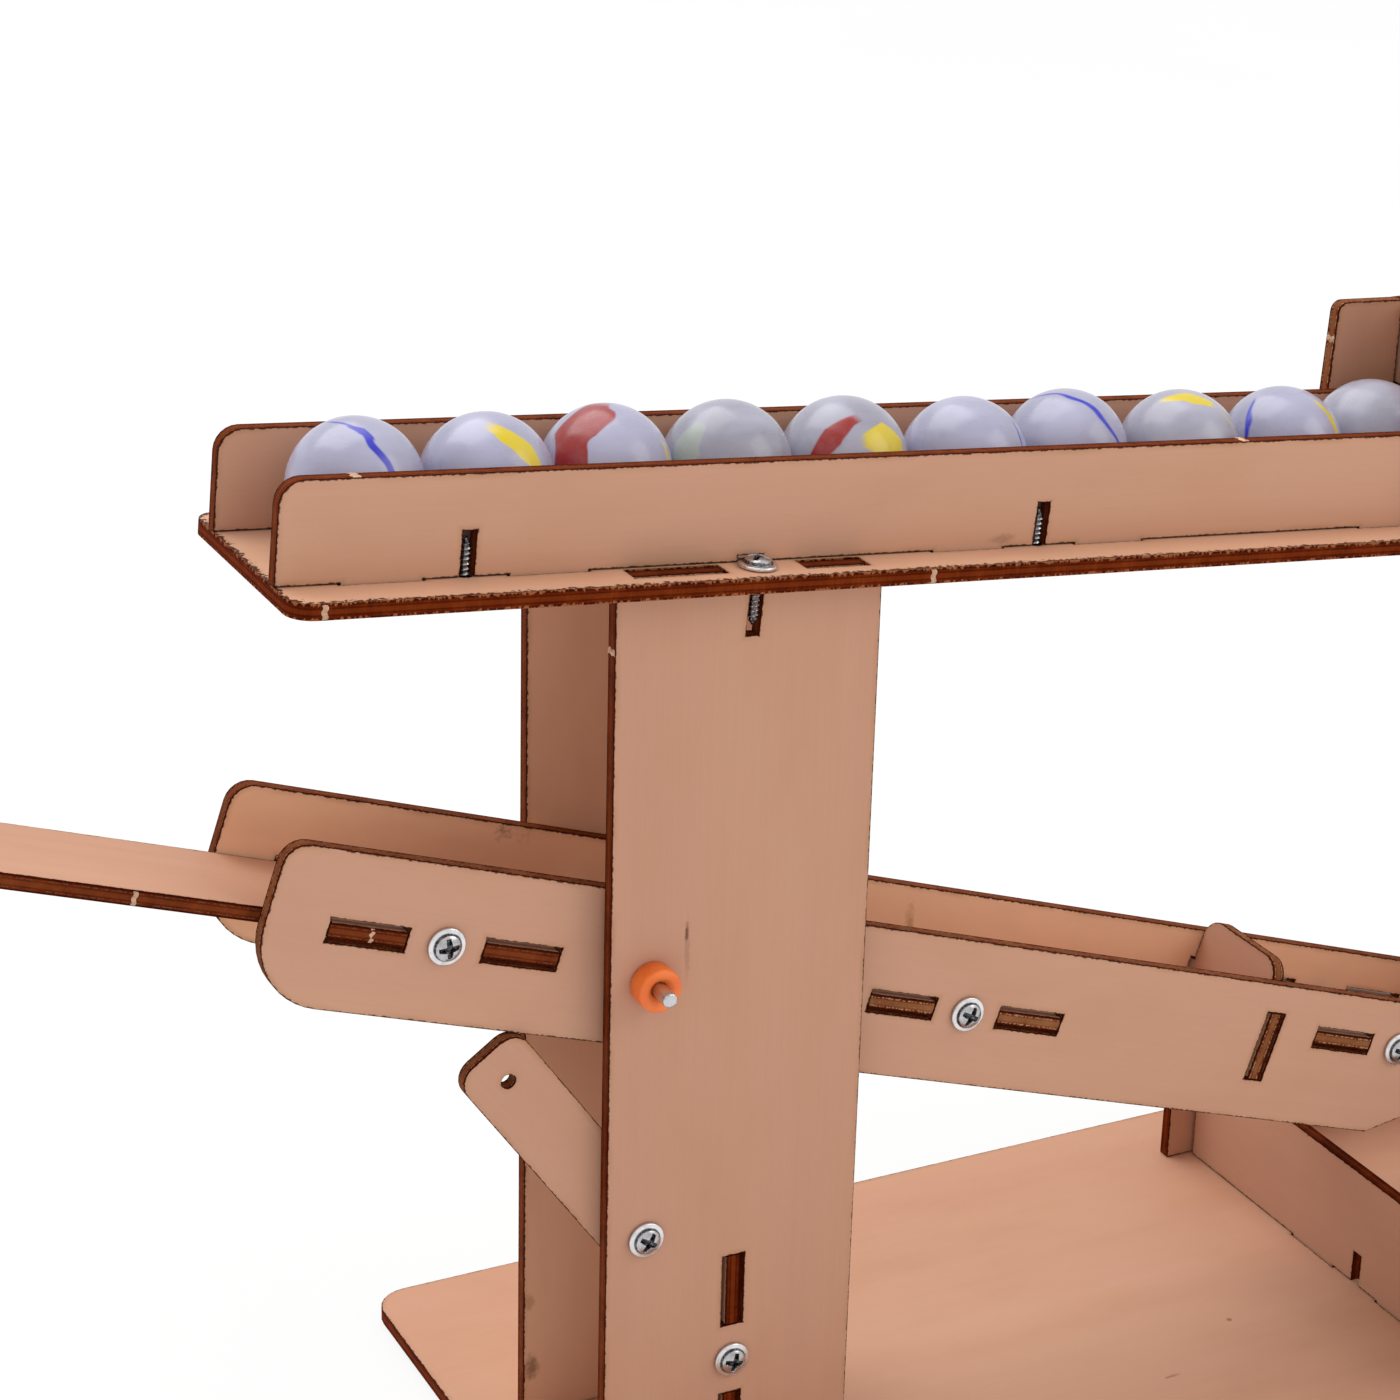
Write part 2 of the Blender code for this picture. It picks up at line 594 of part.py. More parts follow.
def fence_x(name, side):
    """Fence along the tray, with open-topped laps for the cross fences."""
    left = FENCE_LEFT_X - FENCE_END
    right = FENCE_RIGHT_X + PLY + FENCE_END
    low = BASE_TOP + FIT
    high = BASE_TOP + FENCE_H
    middle = (low + high) / 2
    lap = SLOT / 2
    corners = [(left, low), (right, low), (right, high), (left, high)]
    laps = []
    for x in (FENCE_LEFT_X, FENCE_RIGHT_X):
        at = right - (x + PLY / 2)
        laps.append((at - lap, at + lap, -(high - middle + FIT)))
    tabs = group_edge([FENCE_GROUP_X], PLY, FENCE_SCREW_SLOT, left)
    panel(name, outline(corners, {0: tabs, 2: sorted(laps)}), [], XZ,
          side * (FENCE_REAR_Y + PLY / 2))


# ---- the beam ----
def beam_wall(name, side, frame):
    half = BEAM_H / 2
    rise = math.tan(math.radians(TAPER_ANGLE)) * (BEAM_RIGHT - TAPER_START)
    corners = [(BEAM_LEFT, -half, BEAM_LOW_CORNER), (TAPER_START, -half),
               (BEAM_RIGHT, -half + rise), (BEAM_RIGHT, half, BEAM_TOP_CORNER / 2),
               (BEAM_LEFT, half, BEAM_TOP_CORNER)]
    holes = [circle(0, 0, AXLE_D + 2 * RUNNING)]
    for number, centre in enumerate(BEAM_GROUPS):
        middle = BUCKET_FLOOR_UP if number == 2 else 0.0
        holes.extend(slots_for_group(centre, middle - SLOT / 2, middle + SLOT / 2))
        holes.append(circle(centre, middle, SCREW_HOLE_D))
    cross = DIVIDER_S + PLY / 2
    low = DIVIDER_TAB[0] - TAB_END_PLAY
    high = DIVIDER_TAB[1] + TAB_END_PLAY
    holes.append(rectangle(cross - SLOT / 2, cross + SLOT / 2, low, high))
    panel(name, outline(corners), holes, XZ, side * (BEAM_HALF + PLY / 2), frame)


def beam_board(name, left, right, centre, middle, frame, left_radius=0.0, holes=()):
    """Floor board between the beam's walls, with a tab group at each side."""
    half = BEAM_HALF - FIT
    ends = [(left, -half), (right, -half), (right, half), (left, half)]
    if left_radius:
        ends[0] = (left, -half, left_radius)
        ends[3] = (left, half, left_radius)
    near = group_edge([centre], PLY + FIT, UPRIGHT_SCREW_SLOT, left)
    far = group_edge([centre], PLY + FIT, UPRIGHT_SCREW_SLOT, right, flip=True)
    return panel(name, outline(ends, {0: near, 2: far}), holes, XY, middle, frame)


def bucket_divider(frame):
    half = BEAM_HALF - FIT
    low = -BEAM_H / 2 + PLY
    high = BEAM_H / 2 + DIVIDER_RISE
    corners = [(-half, low), (half, low), (half, high, CORNER), (-half, high, CORNER)]
    edges = {1: [(DIVIDER_TAB[0] - low, DIVIDER_TAB[1] - low, PLY + FIT)],
             3: [(high - DIVIDER_TAB[1], high - DIVIDER_TAB[0], PLY + FIT)]}
    panel("bucket_divider", outline(corners, edges), [], YZ, DIVIDER_S + PLY / 2, frame)


def counterweights(frame):
    """Ply plates stacked under the far end of the left plank."""
    half = BEAM_HALF + PLY + COUNTERWEIGHT_OVERHANG
    low = COUNTERWEIGHT_S - COUNTERWEIGHT_L / 2
    corners = [(low, -half, CORNER), (low + COUNTERWEIGHT_L, -half, CORNER),
               (low + COUNTERWEIGHT_L, half, CORNER), (low, half, CORNER)]
    hole = circle(COUNTERWEIGHT_S, 0, SCREW_HOLE_D)
    for number in range(COUNTERWEIGHT_COUNT):
        middle = -(number + 1) * (PLY + FIT)
        panel(f"counterweight_{number + 1}", outline(corners), [hole], XY, middle, frame)


def beam_fasteners(frame):
    for name, side in (("front", -1), ("rear", 1)):
        for number, centre in enumerate(BEAM_GROUPS):
            middle = BUCKET_FLOOR_UP if number == 2 else 0.0
            point = (centre, side * (BEAM_HALF + PLY), middle)
            screw(f"beam_{name}_screw_{number + 1}", point, (0, -side, 0), frame)
    length = (COUNTERWEIGHT_COUNT + 1) * (PLY + FIT)
    point = (COUNTERWEIGHT_S, 0, PLY / 2)
    screw("counterweight_screw", point, (0, 0, -1), frame, length)


def axle_parts(frame):
    reach = TOWER_HALF + PLY + AXLE_OUT
    radius = AXLE_D / 2
    turn = Matrix.Rotation(math.radians(90), 4, "X")
    profile = [(0, -reach), (radius - END_CHAMFER, -reach), (radius, -reach + END_CHAMFER),
               (radius, reach - END_CHAMFER), (radius - END_CHAMFER, reach), (0, reach)]
    turned("beam_axle", profile, turn, frame, steel_finish("beam_axle"))
    bore = radius + RUNNING
    for name, side in (("front", -1), ("rear", 1)):
        start = TOWER_HALF + PLY + FIT
        ring = [(bore, 0), (BUSHING_D / 2, 0), (BUSHING_D / 2, BUSHING_L - END_CHAMFER),
                (BUSHING_D / 2 - END_CHAMFER, BUSHING_L), (bore, BUSHING_L)]
        out = Matrix.Translation((0, side * start * MM, 0)) @ Matrix.Rotation(
            math.radians(-90 * side), 4, "X")
        turned(f"{name}_bushing", ring, out, frame, orange_finish(f"{name}_bushing"))
        start = BEAM_HALF + PLY + FIT
        width = BEAM_SIDE_PLAY - 2 * FIT
        ring = [(bore, 0), (SPACER_D / 2, 0), (SPACER_D / 2, width), (bore, width)]
        out = Matrix.Translation((0, side * start * MM, 0)) @ Matrix.Rotation(
            math.radians(-90 * side), 4, "X")
        turned(f"{name}_spacer", ring, out, frame, orange_finish(f"{name}_spacer"))


# ---- the stop arm ----
def stop_arm_angle():
    """Angle, from +X towards +Z, at which the arm's rounded corner meets the beam's lower edge."""
    along = STOP_HOLES + STOP_END - STOP_CORNER
    across = STOP_CORNER - STOP_W / 2
    normal = (-math.sin(TILT), -math.cos(TILT))
    reach = BEAM_H / 2 + STOP_CORNER + FIT
    level = reach - (-STOP_DROP) * normal[1]
    a = along * normal[0] + across * normal[1]
    b = along * normal[1] - across * normal[0]
    return math.atan2(b, a) - math.acos(level / math.hypot(a, b)) + 2 * math.pi


def stop_arm():
    half = STOP_W / 2
    far = STOP_HOLES + STOP_END
    corners = [(-STOP_END, -half, STOP_CORNER), (far, -half, STOP_CORNER),
               (far, half, STOP_CORNER), (-STOP_END, half, STOP_CORNER)]
    holes = [circle(0, 0, SCREW_HOLE_D), circle(STOP_HOLES, 0, SCREW_HOLE_D)]
    middle = -(TOWER_HALF - FIT * 2 - PLY / 2)
    arm = panel("stop_arm", outline(corners), holes, XZ, 0.0)
    pivot = Vector((BEAM_PIVOT_X, middle, BEAM_PIVOT_Z - STOP_DROP)) * MM
    turn = Matrix.Rotation(-stop_arm_angle(), 4, "Y")
    arm.matrix_local = Matrix.Translation(pivot) @ turn @ XZ


# ---- the gate ----
def gate():
    """Plate that drops between the rails; its ears rest in open slots of the upper arms."""
    tongue = CHANNEL_HALF - GATE_PLAY
    ear = TOWER_HALF + PLY + GATE_EAR
    low = floor_line(GATE_X, PLY) + GATE_FLOOR_GAP
    rest = GATE_REST_H + FIT
    ear_top = arm_top(GATE_X + PLY)
    corners = [(-tongue, low), (tongue, low), (tongue, rest), (ear, rest),
               (ear, ear_top, CORNER), (GRIP_HALF, ear_top), (GRIP_HALF, GATE_TOP, CORNER),
               (-GRIP_HALF, GATE_TOP, CORNER), (-GRIP_HALF, ear_top), (-ear, ear_top, CORNER),
               (-ear, rest), (-tongue, rest)]
    panel("gate_plate", outline(corners), [], YZ, GATE_X + PLY / 2)
    half = GATE_PAD_W / 2
    pad_low = low + CORNER
    for number in range(GATE_PADS):
        shape = outline([(*corner, PAD_CORNER)
                         for corner in rectangle(-half, half, pad_low, pad_low + GATE_PAD_H)])
        middle = GATE_X - (number + 1) * (PLY + FIT) + PLY / 2
        panel(f"gate_pad_{number + 1}", shape, [], YZ, middle)


def build():
    for thing in list(bpy.data.objects):
        bpy.data.objects.remove(thing, do_unlink=True)
    base_board()
    left_upright("left_front_upright", -1)
    left_upright("left_rear_upright", 1)
    brace("left_brace", BRACE_X, BASE_TOP + BRACE_SCREW_H, BASE_TOP + FIT, BRACE_TOP)
    right_upright("right_front_upright", -1)
    right_upright("right_rear_upright", 1)
    brace("right_brace", RIGHT_TOWER_X + RIGHT_BRACE_X, RIGHT_BRACE_H,
          RIGHT_BRACE_H - RIGHT_BRACE_HALF, RIGHT_BRACE_H + RIGHT_BRACE_HALF)
    drop_back_panel()
    tower_screws()
    fence_y("tray_left_fence", FENCE_LEFT_X, FENCE_SCREW_SLOT)
    fence_y("tray_right_fence", FENCE_RIGHT_X, FENCE_SCREW_SLOT)
    fence_x("tray_front_fence", -1)
    fence_x("tray_rear_fence", 1)
    channel = add_frame("channel_frame", 0.0, TOWER_HEIGHT, SLOPE)
    channel_floor(channel)
    channel_rail("front_rail", -1, channel)
    channel_rail("rear_rail", 1, channel)
    channel_screws(channel)
    marbles()
    beam = add_frame("beam_frame", BEAM_PIVOT_X, BEAM_PIVOT_Z, TILT)
    beam_wall("beam_front_wall", -1, beam)
    beam_wall("beam_rear_wall", 1, beam)
    weight_hole = circle(COUNTERWEIGHT_S, 0, SCREW_HOLE_D)
    beam_board("left_plank", LEFT_PLANK_END, -AXLE_GAP, BEAM_GROUPS[0], 0.0, beam, CORNER,
               [weight_hole])
    beam_board("right_plank", AXLE_GAP, DIVIDER_S - FIT * 2, BEAM_GROUPS[1], 0.0, beam)
    beam_board("bucket_floor", DIVIDER_S + PLY + FIT * 2, BEAM_RIGHT, BEAM_GROUPS[2],
               BUCKET_FLOOR_UP, beam)
    bucket_divider(beam)
    counterweights(beam)
    beam_fasteners(beam)
    axle_parts(beam)
    stop_arm()
    gate()


build()
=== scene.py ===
"""The looks of the laser-cut plywood marble run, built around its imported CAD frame."""
import json
import math
import random

import bmesh
import bpy
from mathutils import Matrix, Vector, noise
from mathutils.geometry import tessellate_polygon


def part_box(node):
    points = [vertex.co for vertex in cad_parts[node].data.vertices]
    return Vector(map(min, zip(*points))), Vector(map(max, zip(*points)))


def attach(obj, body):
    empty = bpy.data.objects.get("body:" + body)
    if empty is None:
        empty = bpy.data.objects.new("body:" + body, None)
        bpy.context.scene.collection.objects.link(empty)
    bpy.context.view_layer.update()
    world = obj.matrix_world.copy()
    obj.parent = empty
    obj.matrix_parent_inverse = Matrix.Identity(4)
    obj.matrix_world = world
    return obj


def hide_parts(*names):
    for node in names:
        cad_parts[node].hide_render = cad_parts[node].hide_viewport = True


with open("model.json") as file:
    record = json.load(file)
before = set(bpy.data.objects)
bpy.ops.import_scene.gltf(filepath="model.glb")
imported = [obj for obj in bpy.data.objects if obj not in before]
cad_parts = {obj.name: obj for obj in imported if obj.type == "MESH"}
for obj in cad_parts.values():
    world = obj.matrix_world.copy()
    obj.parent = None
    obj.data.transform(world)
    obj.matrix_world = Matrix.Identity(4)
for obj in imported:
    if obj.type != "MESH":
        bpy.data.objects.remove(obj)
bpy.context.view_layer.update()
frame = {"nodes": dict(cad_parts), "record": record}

MM = 0.001
NODES = frame["nodes"]
BODY_OF = {node: body for body, members in frame["record"]["behaviour"]["bodies"].items()
           for node in members}
random.seed(7)


# ---------------------------------------- camera
CAMERA_PLACE = (-0.1581, -0.3481, 0.26559)
CAMERA_YAW = -26.9
CAMERA_PITCH = -21.71
CAMERA_ROLL = 1.46
CAMERA_LENS = 85.86
SENSOR_WIDTH = 36


def view_axes():
    """Right, up and backward of the camera, as unit vectors."""
    yaw = math.radians(CAMERA_YAW)
    pitch = math.radians(CAMERA_PITCH)
    roll = math.radians(CAMERA_ROLL)
    forward = Vector((-math.sin(yaw) * math.cos(pitch), math.cos(yaw) * math.cos(pitch),
                      math.sin(pitch)))
    level = Vector((math.cos(yaw), math.sin(yaw), 0))
    above = level.cross(forward)
    right = level * math.cos(roll) + above * math.sin(roll)
    up = above * math.cos(roll) - level * math.sin(roll)
    return right, up, -forward


RIGHT, UP, BACK = view_axes()


def add_camera():
    """The scene's camera, at the angle the object is shown from."""
    data = bpy.data.cameras.new("camera")
    data.lens = CAMERA_LENS
    data.sensor_width = SENSOR_WIDTH
    data.clip_start = 0.01
    data.clip_end = 30
    camera = bpy.data.objects.new("camera", data)
    bpy.context.scene.collection.objects.link(camera)
    turn = Matrix((RIGHT, UP, BACK)).transposed().to_4x4()
    camera.matrix_world = Matrix.Translation(CAMERA_PLACE) @ turn
    bpy.context.scene.camera = camera


# ---------------------------------------- material helpers
class Tree:
    """A node material, built up one value at a time."""

    def __init__(self, name):
        self.material = bpy.data.materials.new(name)
        self.material.use_nodes = True
        self.nodes = self.material.node_tree.nodes
        self.links = self.material.node_tree.links
        self.shader = self.nodes["Principled BSDF"]

    def put(self, socket, value):
        if isinstance(value, bpy.types.NodeSocket):
            self.links.new(value, socket)
        elif value is not None:
            socket.default_value = value

    def add(self, kind, values=(), **settings):
        node = self.nodes.new(kind)
        for key, value in settings.items():
            setattr(node, key, value)
        for key, value in dict(values).items():
            self.put(node.inputs[key], value)
        return node

    def finish(self, colour, roughness, normal, constants=()):
        """Gives the shader its colour, roughness and normal, and its other constants."""
        self.put(self.shader.inputs["Base Color"], colour)
        self.put(self.shader.inputs["Roughness"], roughness)
        self.put(self.shader.inputs["Normal"], normal)
        for name, value in dict(constants).items():
            self.shader.inputs[name].default_value = value
        return self.material

    def where(self):
        """The shaded point in its object's own coordinates."""
        return self.add("ShaderNodeTexCoord").outputs["Object"]

    def attribute(self, name, output="Fac"):
        return self.add("ShaderNodeAttribute", attribute_name=name).outputs[output]

    def math(self, operation, a, b=None, c=None, clamp=False):
        node = self.add("ShaderNodeMath", operation=operation, use_clamp=clamp)
        for socket, value in zip(node.inputs, (a, b, c)):
            self.put(socket, value)
        return node.outputs[0]

    def times(self, a, b, clamp=False):
        return self.math("MULTIPLY", a, b, clamp=clamp)

    def inverse(self, value):
        """What is left of 1."""
        return self.math("SUBTRACT", 1.0, value)

    def vector(self, operation, a, b=None):
        node = self.add("ShaderNodeVectorMath", operation=operation)
        self.put(node.inputs[0], a)
        self.put(node.inputs[1], b)
        return node.outputs["Value" if operation in ("DOT_PRODUCT", "LENGTH") else "Vector"]

    def noise(self, vector, scale=1.0, detail=2.0, roughness=0.5, stretch=None):
        if stretch:
            vector = self.vector("MULTIPLY", vector, stretch)
        node = self.add("ShaderNodeTexNoise", {"Vector": vector, "Scale": scale,
                                               "Detail": detail, "Roughness": roughness})
        return node.outputs["Fac"]

    def remap(self, value, low, high, to_low=0.0, to_high=1.0):
        node = self.add("ShaderNodeMapRange", {"Value": value, "From Min": low, "From Max": high,
                                               "To Min": to_low, "To Max": to_high})
        return node.outputs["Result"]

    def smooth(self, value, low, high):
        node = self.add("ShaderNodeMapRange", {"Value": value, "From Min": low, "From Max": high},
                        interpolation_type="SMOOTHSTEP")
        return node.outputs["Result"]

    def mix(self, factor, a, b):
        """Goes from a's colour to the fixed colour b."""
        node = self.add("ShaderNodeMix", data_type="RGBA")
        self.put(node.inputs["Factor"], factor)
        self.put(node.inputs[6], a)
        self.put(node.inputs[7], (*b, 1))
        return node.outputs[2]

    def ramp(self, value, stops):
        node = self.add("ShaderNodeValToRGB", {"Fac": value})
        elements = node.color_ramp.elements
        while len(elements) < len(stops):
            elements.new(0.5)
        for element, (place, colour) in zip(elements, stops):
            element.position = place
            element.color = (*colour, 1)
        return node.outputs["Color"]

    def bump(self, height, distance, strength):
        node = self.add("ShaderNodeBump", {"Height": height, "Distance": distance,
                                           "Strength": strength})
        return node.outputs["Normal"]


# ---------------------------------------- plywood
# Marks on single panels: centre and radius along x, y and z, both in millimetres and in the
# record's frame at rest, how strongly the mark covers the wood, and its paint.
SOOT = (0.070, 0.022, 0.008)
SCORCH = (0.360, 0.190, 0.050)
MARKS = (
    ((10.4, -14.0, 85.6), (0.35, 2.0, 1.3), 0.75, SOOT),     # pin knot over the bushing
    ((10.5, -14.0, 83.0), (0.5, 2.0, 4.5), 0.22, SOOT),
    ((54.5, -11.5, 130.6), (2.2, 1.0, 0.8), 0.30, SOOT),     # smudge on the front rail
    ((-4.6, 10.6, 92.7), (1.9, 2.5, 1.9), 0.95, SOOT),       # scorch on the rear beam wall
    ((-1.6, 10.6, 91.6), (3.2, 2.5, 2.6), 0.45, SCORCH),
    ((56.0, 8.6, 66.0), (0.9, 1.0, 6.0), 0.60, SCORCH),      # scorch inside it
    ((1.2, 12.0, 9.5), (1.2, 3.0, 2.4), 0.60, SOOT),         # burns low on the rear upright
    ((0.8, 12.0, 20.0), (0.9, 3.0, 1.6), 0.50, SCORCH),
    ((88.0, -17.0, 2.0), (1.6, 0.35, 1.0), 0.45, SOOT),      # specks on the base board
    ((104.0, -8.0, 2.0), (0.5, 0.5, 1.0), 0.55, SOOT),
)


def ply_face():
    """Laser-cut birch face: grain along the panel, scorch and char beside its cuts."""
    tree = Tree("plywood_face")
    place = tree.attribute("grain", "Vector")
    rim = tree.attribute("rim")
    char = tree.attribute("char")
    # slow drift between a pinkish and a yellowish tan
    drift = tree.noise(place, 1.0, 2.0, 0.5, (0.012, 0.05, 0.02))
    colour = tree.ramp(drift, [(0.30, (0.542, 0.287, 0.197)), (0.50, (0.551, 0.297, 0.197)),
                               (0.70, (0.558, 0.308, 0.201))])
    # lengthwise grain: broad bands, fine lines and short pores
    band = tree.noise(place, 1.0, 3.0, 0.6, (0.010, 0.32, 0.3))
    colour = tree.mix(tree.remap(band, 0.3, 0.7, 0.0, 0.15), colour, (0.481, 0.238, 0.152))
    line = tree.noise(place, 1.0, 4.0, 0.7, (0.030, 2.4, 1.0))
    colour = tree.mix(tree.remap(line, 0.42, 0.80, 0.0, 0.13), colour, (0.429, 0.205, 0.121))
    pore = tree.noise(place, 1.0, 1.0, 0.5, (0.32, 7.5, 3.0))
    pores = tree.smooth(pore, 0.66, 0.80)
    colour = tree.mix(tree.times(pores, 0.15), colour, (0.343, 0.164, 0.091))
    fibre = tree.noise(place, 1.0, 2.0, 0.6, (0.5, 14.0, 6.0))
    colour = tree.mix(tree.remap(fibre, 0.3, 0.8, 0.0, 0.09), colour, (0.653, 0.393, 0.272))
    # each panel's own tone: darker, and a paler mix that is partly the panel's own tone and partly
    # painted light, strongest on the rear beam wall and the left rear upright
    colour = tree.mix(tree.attribute("tone"), colour, (0.429, 0.205, 0.116))
    colour = tree.mix(tree.attribute("pale_and_painted_light"), colour, (0.830, 0.490, 0.310))
    # marks of single panels
    where = tree.vector("MULTIPLY", tree.where(), (1000, 1000, 1000))
    ragged = tree.noise(where, 1.6, 2.0, 0.6)
    for centre, radius, dark, paint in MARKS:
        away = tree.vector("SUBTRACT", where, centre)
        away = tree.vector("LENGTH", tree.vector("DIVIDE", away, radius))
        away = tree.math("ADD", away, tree.remap(ragged, 0.2, 0.8, -0.35, 0.35))
        spot = tree.inverse(tree.smooth(away, 0.25, 1.15))
        colour = tree.mix(tree.times(spot, dark), colour, paint)
    # cloudy patches, a little browner
    cloud = tree.noise(place, 1.0, 3.0, 0.55, (0.045, 0.11, 0.1))
    colour = tree.mix(tree.remap(cloud, 0.45, 0.75, 0.0, 0.22), colour, (0.472, 0.225, 0.128))
    # yellow-brown scorch beside the cuts
    patch = tree.noise(place, 0.16, 2.0, 0.5)
    near = tree.inverse(tree.smooth(rim, 0.05, 0.98))
    stain = tree.times(near, tree.remap(patch, 0.38, 0.72, 0.05, 0.50))
    colour = tree.mix(stain, colour, (0.360, 0.177, 0.060))
    # charred fringe with a ragged inner line
    teeth = tree.noise(place, 1.7, 2.0, 0.65)
    spread = tree.math("MULTIPLY_ADD", tree.remap(teeth, 0.36, 0.66, 0.0, 1.0), char,
                       tree.times(char, 0.16))
    burnt = tree.smooth(tree.math("SUBTRACT", spread, rim), -0.10, 0.06)
    colour = tree.mix(tree.times(burnt, 0.94), colour, (0.049, 0.012, 0.004))
    height = tree.math("ADD", tree.times(line, 0.55), tree.times(fibre, 0.3))
    height = tree.math("SUBTRACT", height, tree.times(pores, 0.4))
    height = tree.math("SUBTRACT", height, tree.times(burnt, 0.7))
    return tree.finish(colour, tree.remap(band, 0.2, 0.8, 0.50, 0.64),
                       tree.bump(height, 0.00004, 0.4), {"Specular IOR Level": 0.12})


def ply_edge():
    """Burnt edge of three-ply board, scraped or frayed where a panel says so."""
    tree = Tree("plywood_edge")
    place = tree.attribute("grain", "Vector")
    depth = tree.math("ABSOLUTE", tree.attribute("through"))
    # cut marks run straight through the sheet
    stroke = tree.noise(place, 1.0, 3.0, 0.6, (2.2, 2.2, 0.25))
    blotch = tree.noise(place, 0.35, 3.0, 0.6)
    fine = tree.noise(place, 6.0, 2.0, 0.6)
    colour = tree.ramp(blotch, [(0.30, (0.083, 0.008, 0.001)), (0.52, (0.138, 0.017, 0.002)),
                                (0.74, (0.200, 0.032, 0.005))])
    colour = tree.mix(tree.remap(stroke, 0.35, 0.75, 0.0, 0.55), colour, (0.052, 0.005, 0.001))
    # the middle ply is lighter and shows end grain
    middle = tree.inverse(tree.smooth(depth, 0.16, 0.40))
    grainy = tree.times(middle, tree.remap(fine, 0.30, 0.72, 0.10, 0.60))
    colour = tree.mix(grainy, colour, (0.228, 0.043, 0.008))
    # two dark glue lines
    glue = tree.math("ABSOLUTE", tree.math("SUBTRACT", depth, 0.40))
    glue = tree.inverse(tree.smooth(glue, 0.02, 0.12))
    colour = tree.mix(tree.times(glue, 0.45), colour, (0.031, 0.004, 0.001))
    # soot by both faces, with a ragged inner line
    ragged = tree.math("ADD", depth, tree.remap(fine, 0.2, 0.8, -0.16, 0.16))
    soot = tree.smooth(ragged, 0.66, 0.86)
    colour = tree.mix(tree.times(soot, 0.88), colour, (0.028, 0.003, 0.001))
    # scraped edges: a lighter middle and torn light fibres by the outer plies
    scraped = tree.attribute("bare")
    inside = tree.times(tree.inverse(tree.smooth(depth, 0.30, 0.62)), scraped)
    inside = tree.times(inside, tree.remap(blotch, 0.3, 0.7, 0.5, 1.2))
    colour = tree.mix(inside, colour, (0.270, 0.110, 0.045))
    torn = tree.math("ABSOLUTE", tree.math("SUBTRACT", ragged, 0.60))
    torn = tree.inverse(tree.smooth(torn, 0.03, 0.11))
    torn = tree.times(torn, tree.smooth(stroke, 0.42, 0.56))
    torn = tree.times(tree.times(torn, scraped), 1.3, clamp=True)
    colour = tree.mix(torn, colour, (0.430, 0.235, 0.125))
    chip = tree.noise(place, 1.0, 2.0, 0.7, (1.3, 1.3, 3.0))
    bare = tree.times(tree.smooth(chip, 0.66, 0.76), scraped)
    colour = tree.mix(bare, colour, (0.391, 0.175, 0.090))
    # frayed outer plies, light between the burnt teeth
    fringe = tree.noise(place, 1.0, 2.0, 0.6, (2.4, 2.4, 0.4))
    teeth = tree.math("SUBTRACT", depth, tree.remap(fringe, 0.36, 0.64, 0.62, 1.12))
    teeth = tree.times(tree.smooth(teeth, -0.03, 0.05), tree.attribute("frayed"))
    colour = tree.mix(teeth, colour, (0.359, 0.125, 0.052))
    height = tree.math("ADD", tree.times(stroke, 0.9), tree.times(fine, 0.3))
    height = tree.math("SUBTRACT", height, tree.times(glue, 0.5))
    return tree.finish(colour, tree.remap(stroke, 0.2, 0.8, 0.70, 0.90),
                       tree.bump(height, 0.00012, 0.7), {"Specular IOR Level": 0.02})


def ply_bare():
    """Torn light wood, where a bridge held a piece in its sheet."""
    tree = Tree("plywood_bare")
    fibres = tree.noise(tree.where(), 1.0, 4.0, 0.7, (900, 900, 5200))
    colour = tree.ramp(fibres, [(0.3, (0.34, 0.17, 0.09)), (0.5, (0.56, 0.34, 0.22)),
                                (0.7, (0.68, 0.46, 0.32))])
    return tree.finish(colour, tree.remap(fibres, 0.2, 0.8, 0.9, 0.7),
                       tree.bump(fibres, 0.0001, 0.8))


RIM = (0.0, 0.06, 0.36, 1.0)   # distances from a cut at which a face has a ring of points
EDGE_ROUND = 0.06              # the faces' edges are rounded this much
WEB_SHARE = 0.46               # two cuts' rings share the wood between them
MITRE_MOST = 1.6               # longest step of a ring's corner per millimetre of its width
MITRE_LEAST_SHARE = 0.05       # keeps the step of a very sharp corner finite
HOLE_CHAR = 0.16               # most char beside a hole
STRAIGHT = 0.99995             # cosine of the bend below which a point isn't a corner
FLAT = 0.999                   # cosine of the tilt below which a face belongs to a panel's face
WELD = 2e-6                    # metres between points that are the same
SHARP_PANEL = 24               # degrees between faces that are shaded as a crease
SHIFT_MOST = 900               # millimetres by which each panel's grain is shifted


def float_layer(mesh, name, values):
    """Gives every point of a mesh one number that a material can read."""
    layer = mesh.attributes.new(name, "FLOAT", "POINT")
    layer.data.foreach_set("value", values)


def vector_layer(mesh, name, values):
    """Gives every point of a mesh a vector that a material can read."""
    layer = mesh.attributes.new(name, "FLOAT_VECTOR", "POINT")
    layer.data.foreach_set("vector", values)


def panel_axes(work):
    """Unit vectors along, across and through a flat panel."""
    total = {}
    for face in work.faces:
        key = tuple(round(abs(c), 2) for c in face.normal)
        area, normal = total.get(key, (0.0, face.normal.copy()))
        total[key] = (area + face.calc_area(), normal)
    normal = max(total.values(), key=lambda entry: entry[0])[1].normalized()
    cap = {face for face in work.faces if face.normal.dot(normal) > FLAT}
    rim = [edge for edge in work.edges if sum(face in cap for face in edge.link_faces) == 1]
    longest = max(rim, key=lambda edge: edge.calc_length())
    along = (longest.verts[1].co - longest.verts[0].co).normalized()
    if max(along, key=abs) < 0:
        along = -along
    return along, normal.cross(along), normal, rim


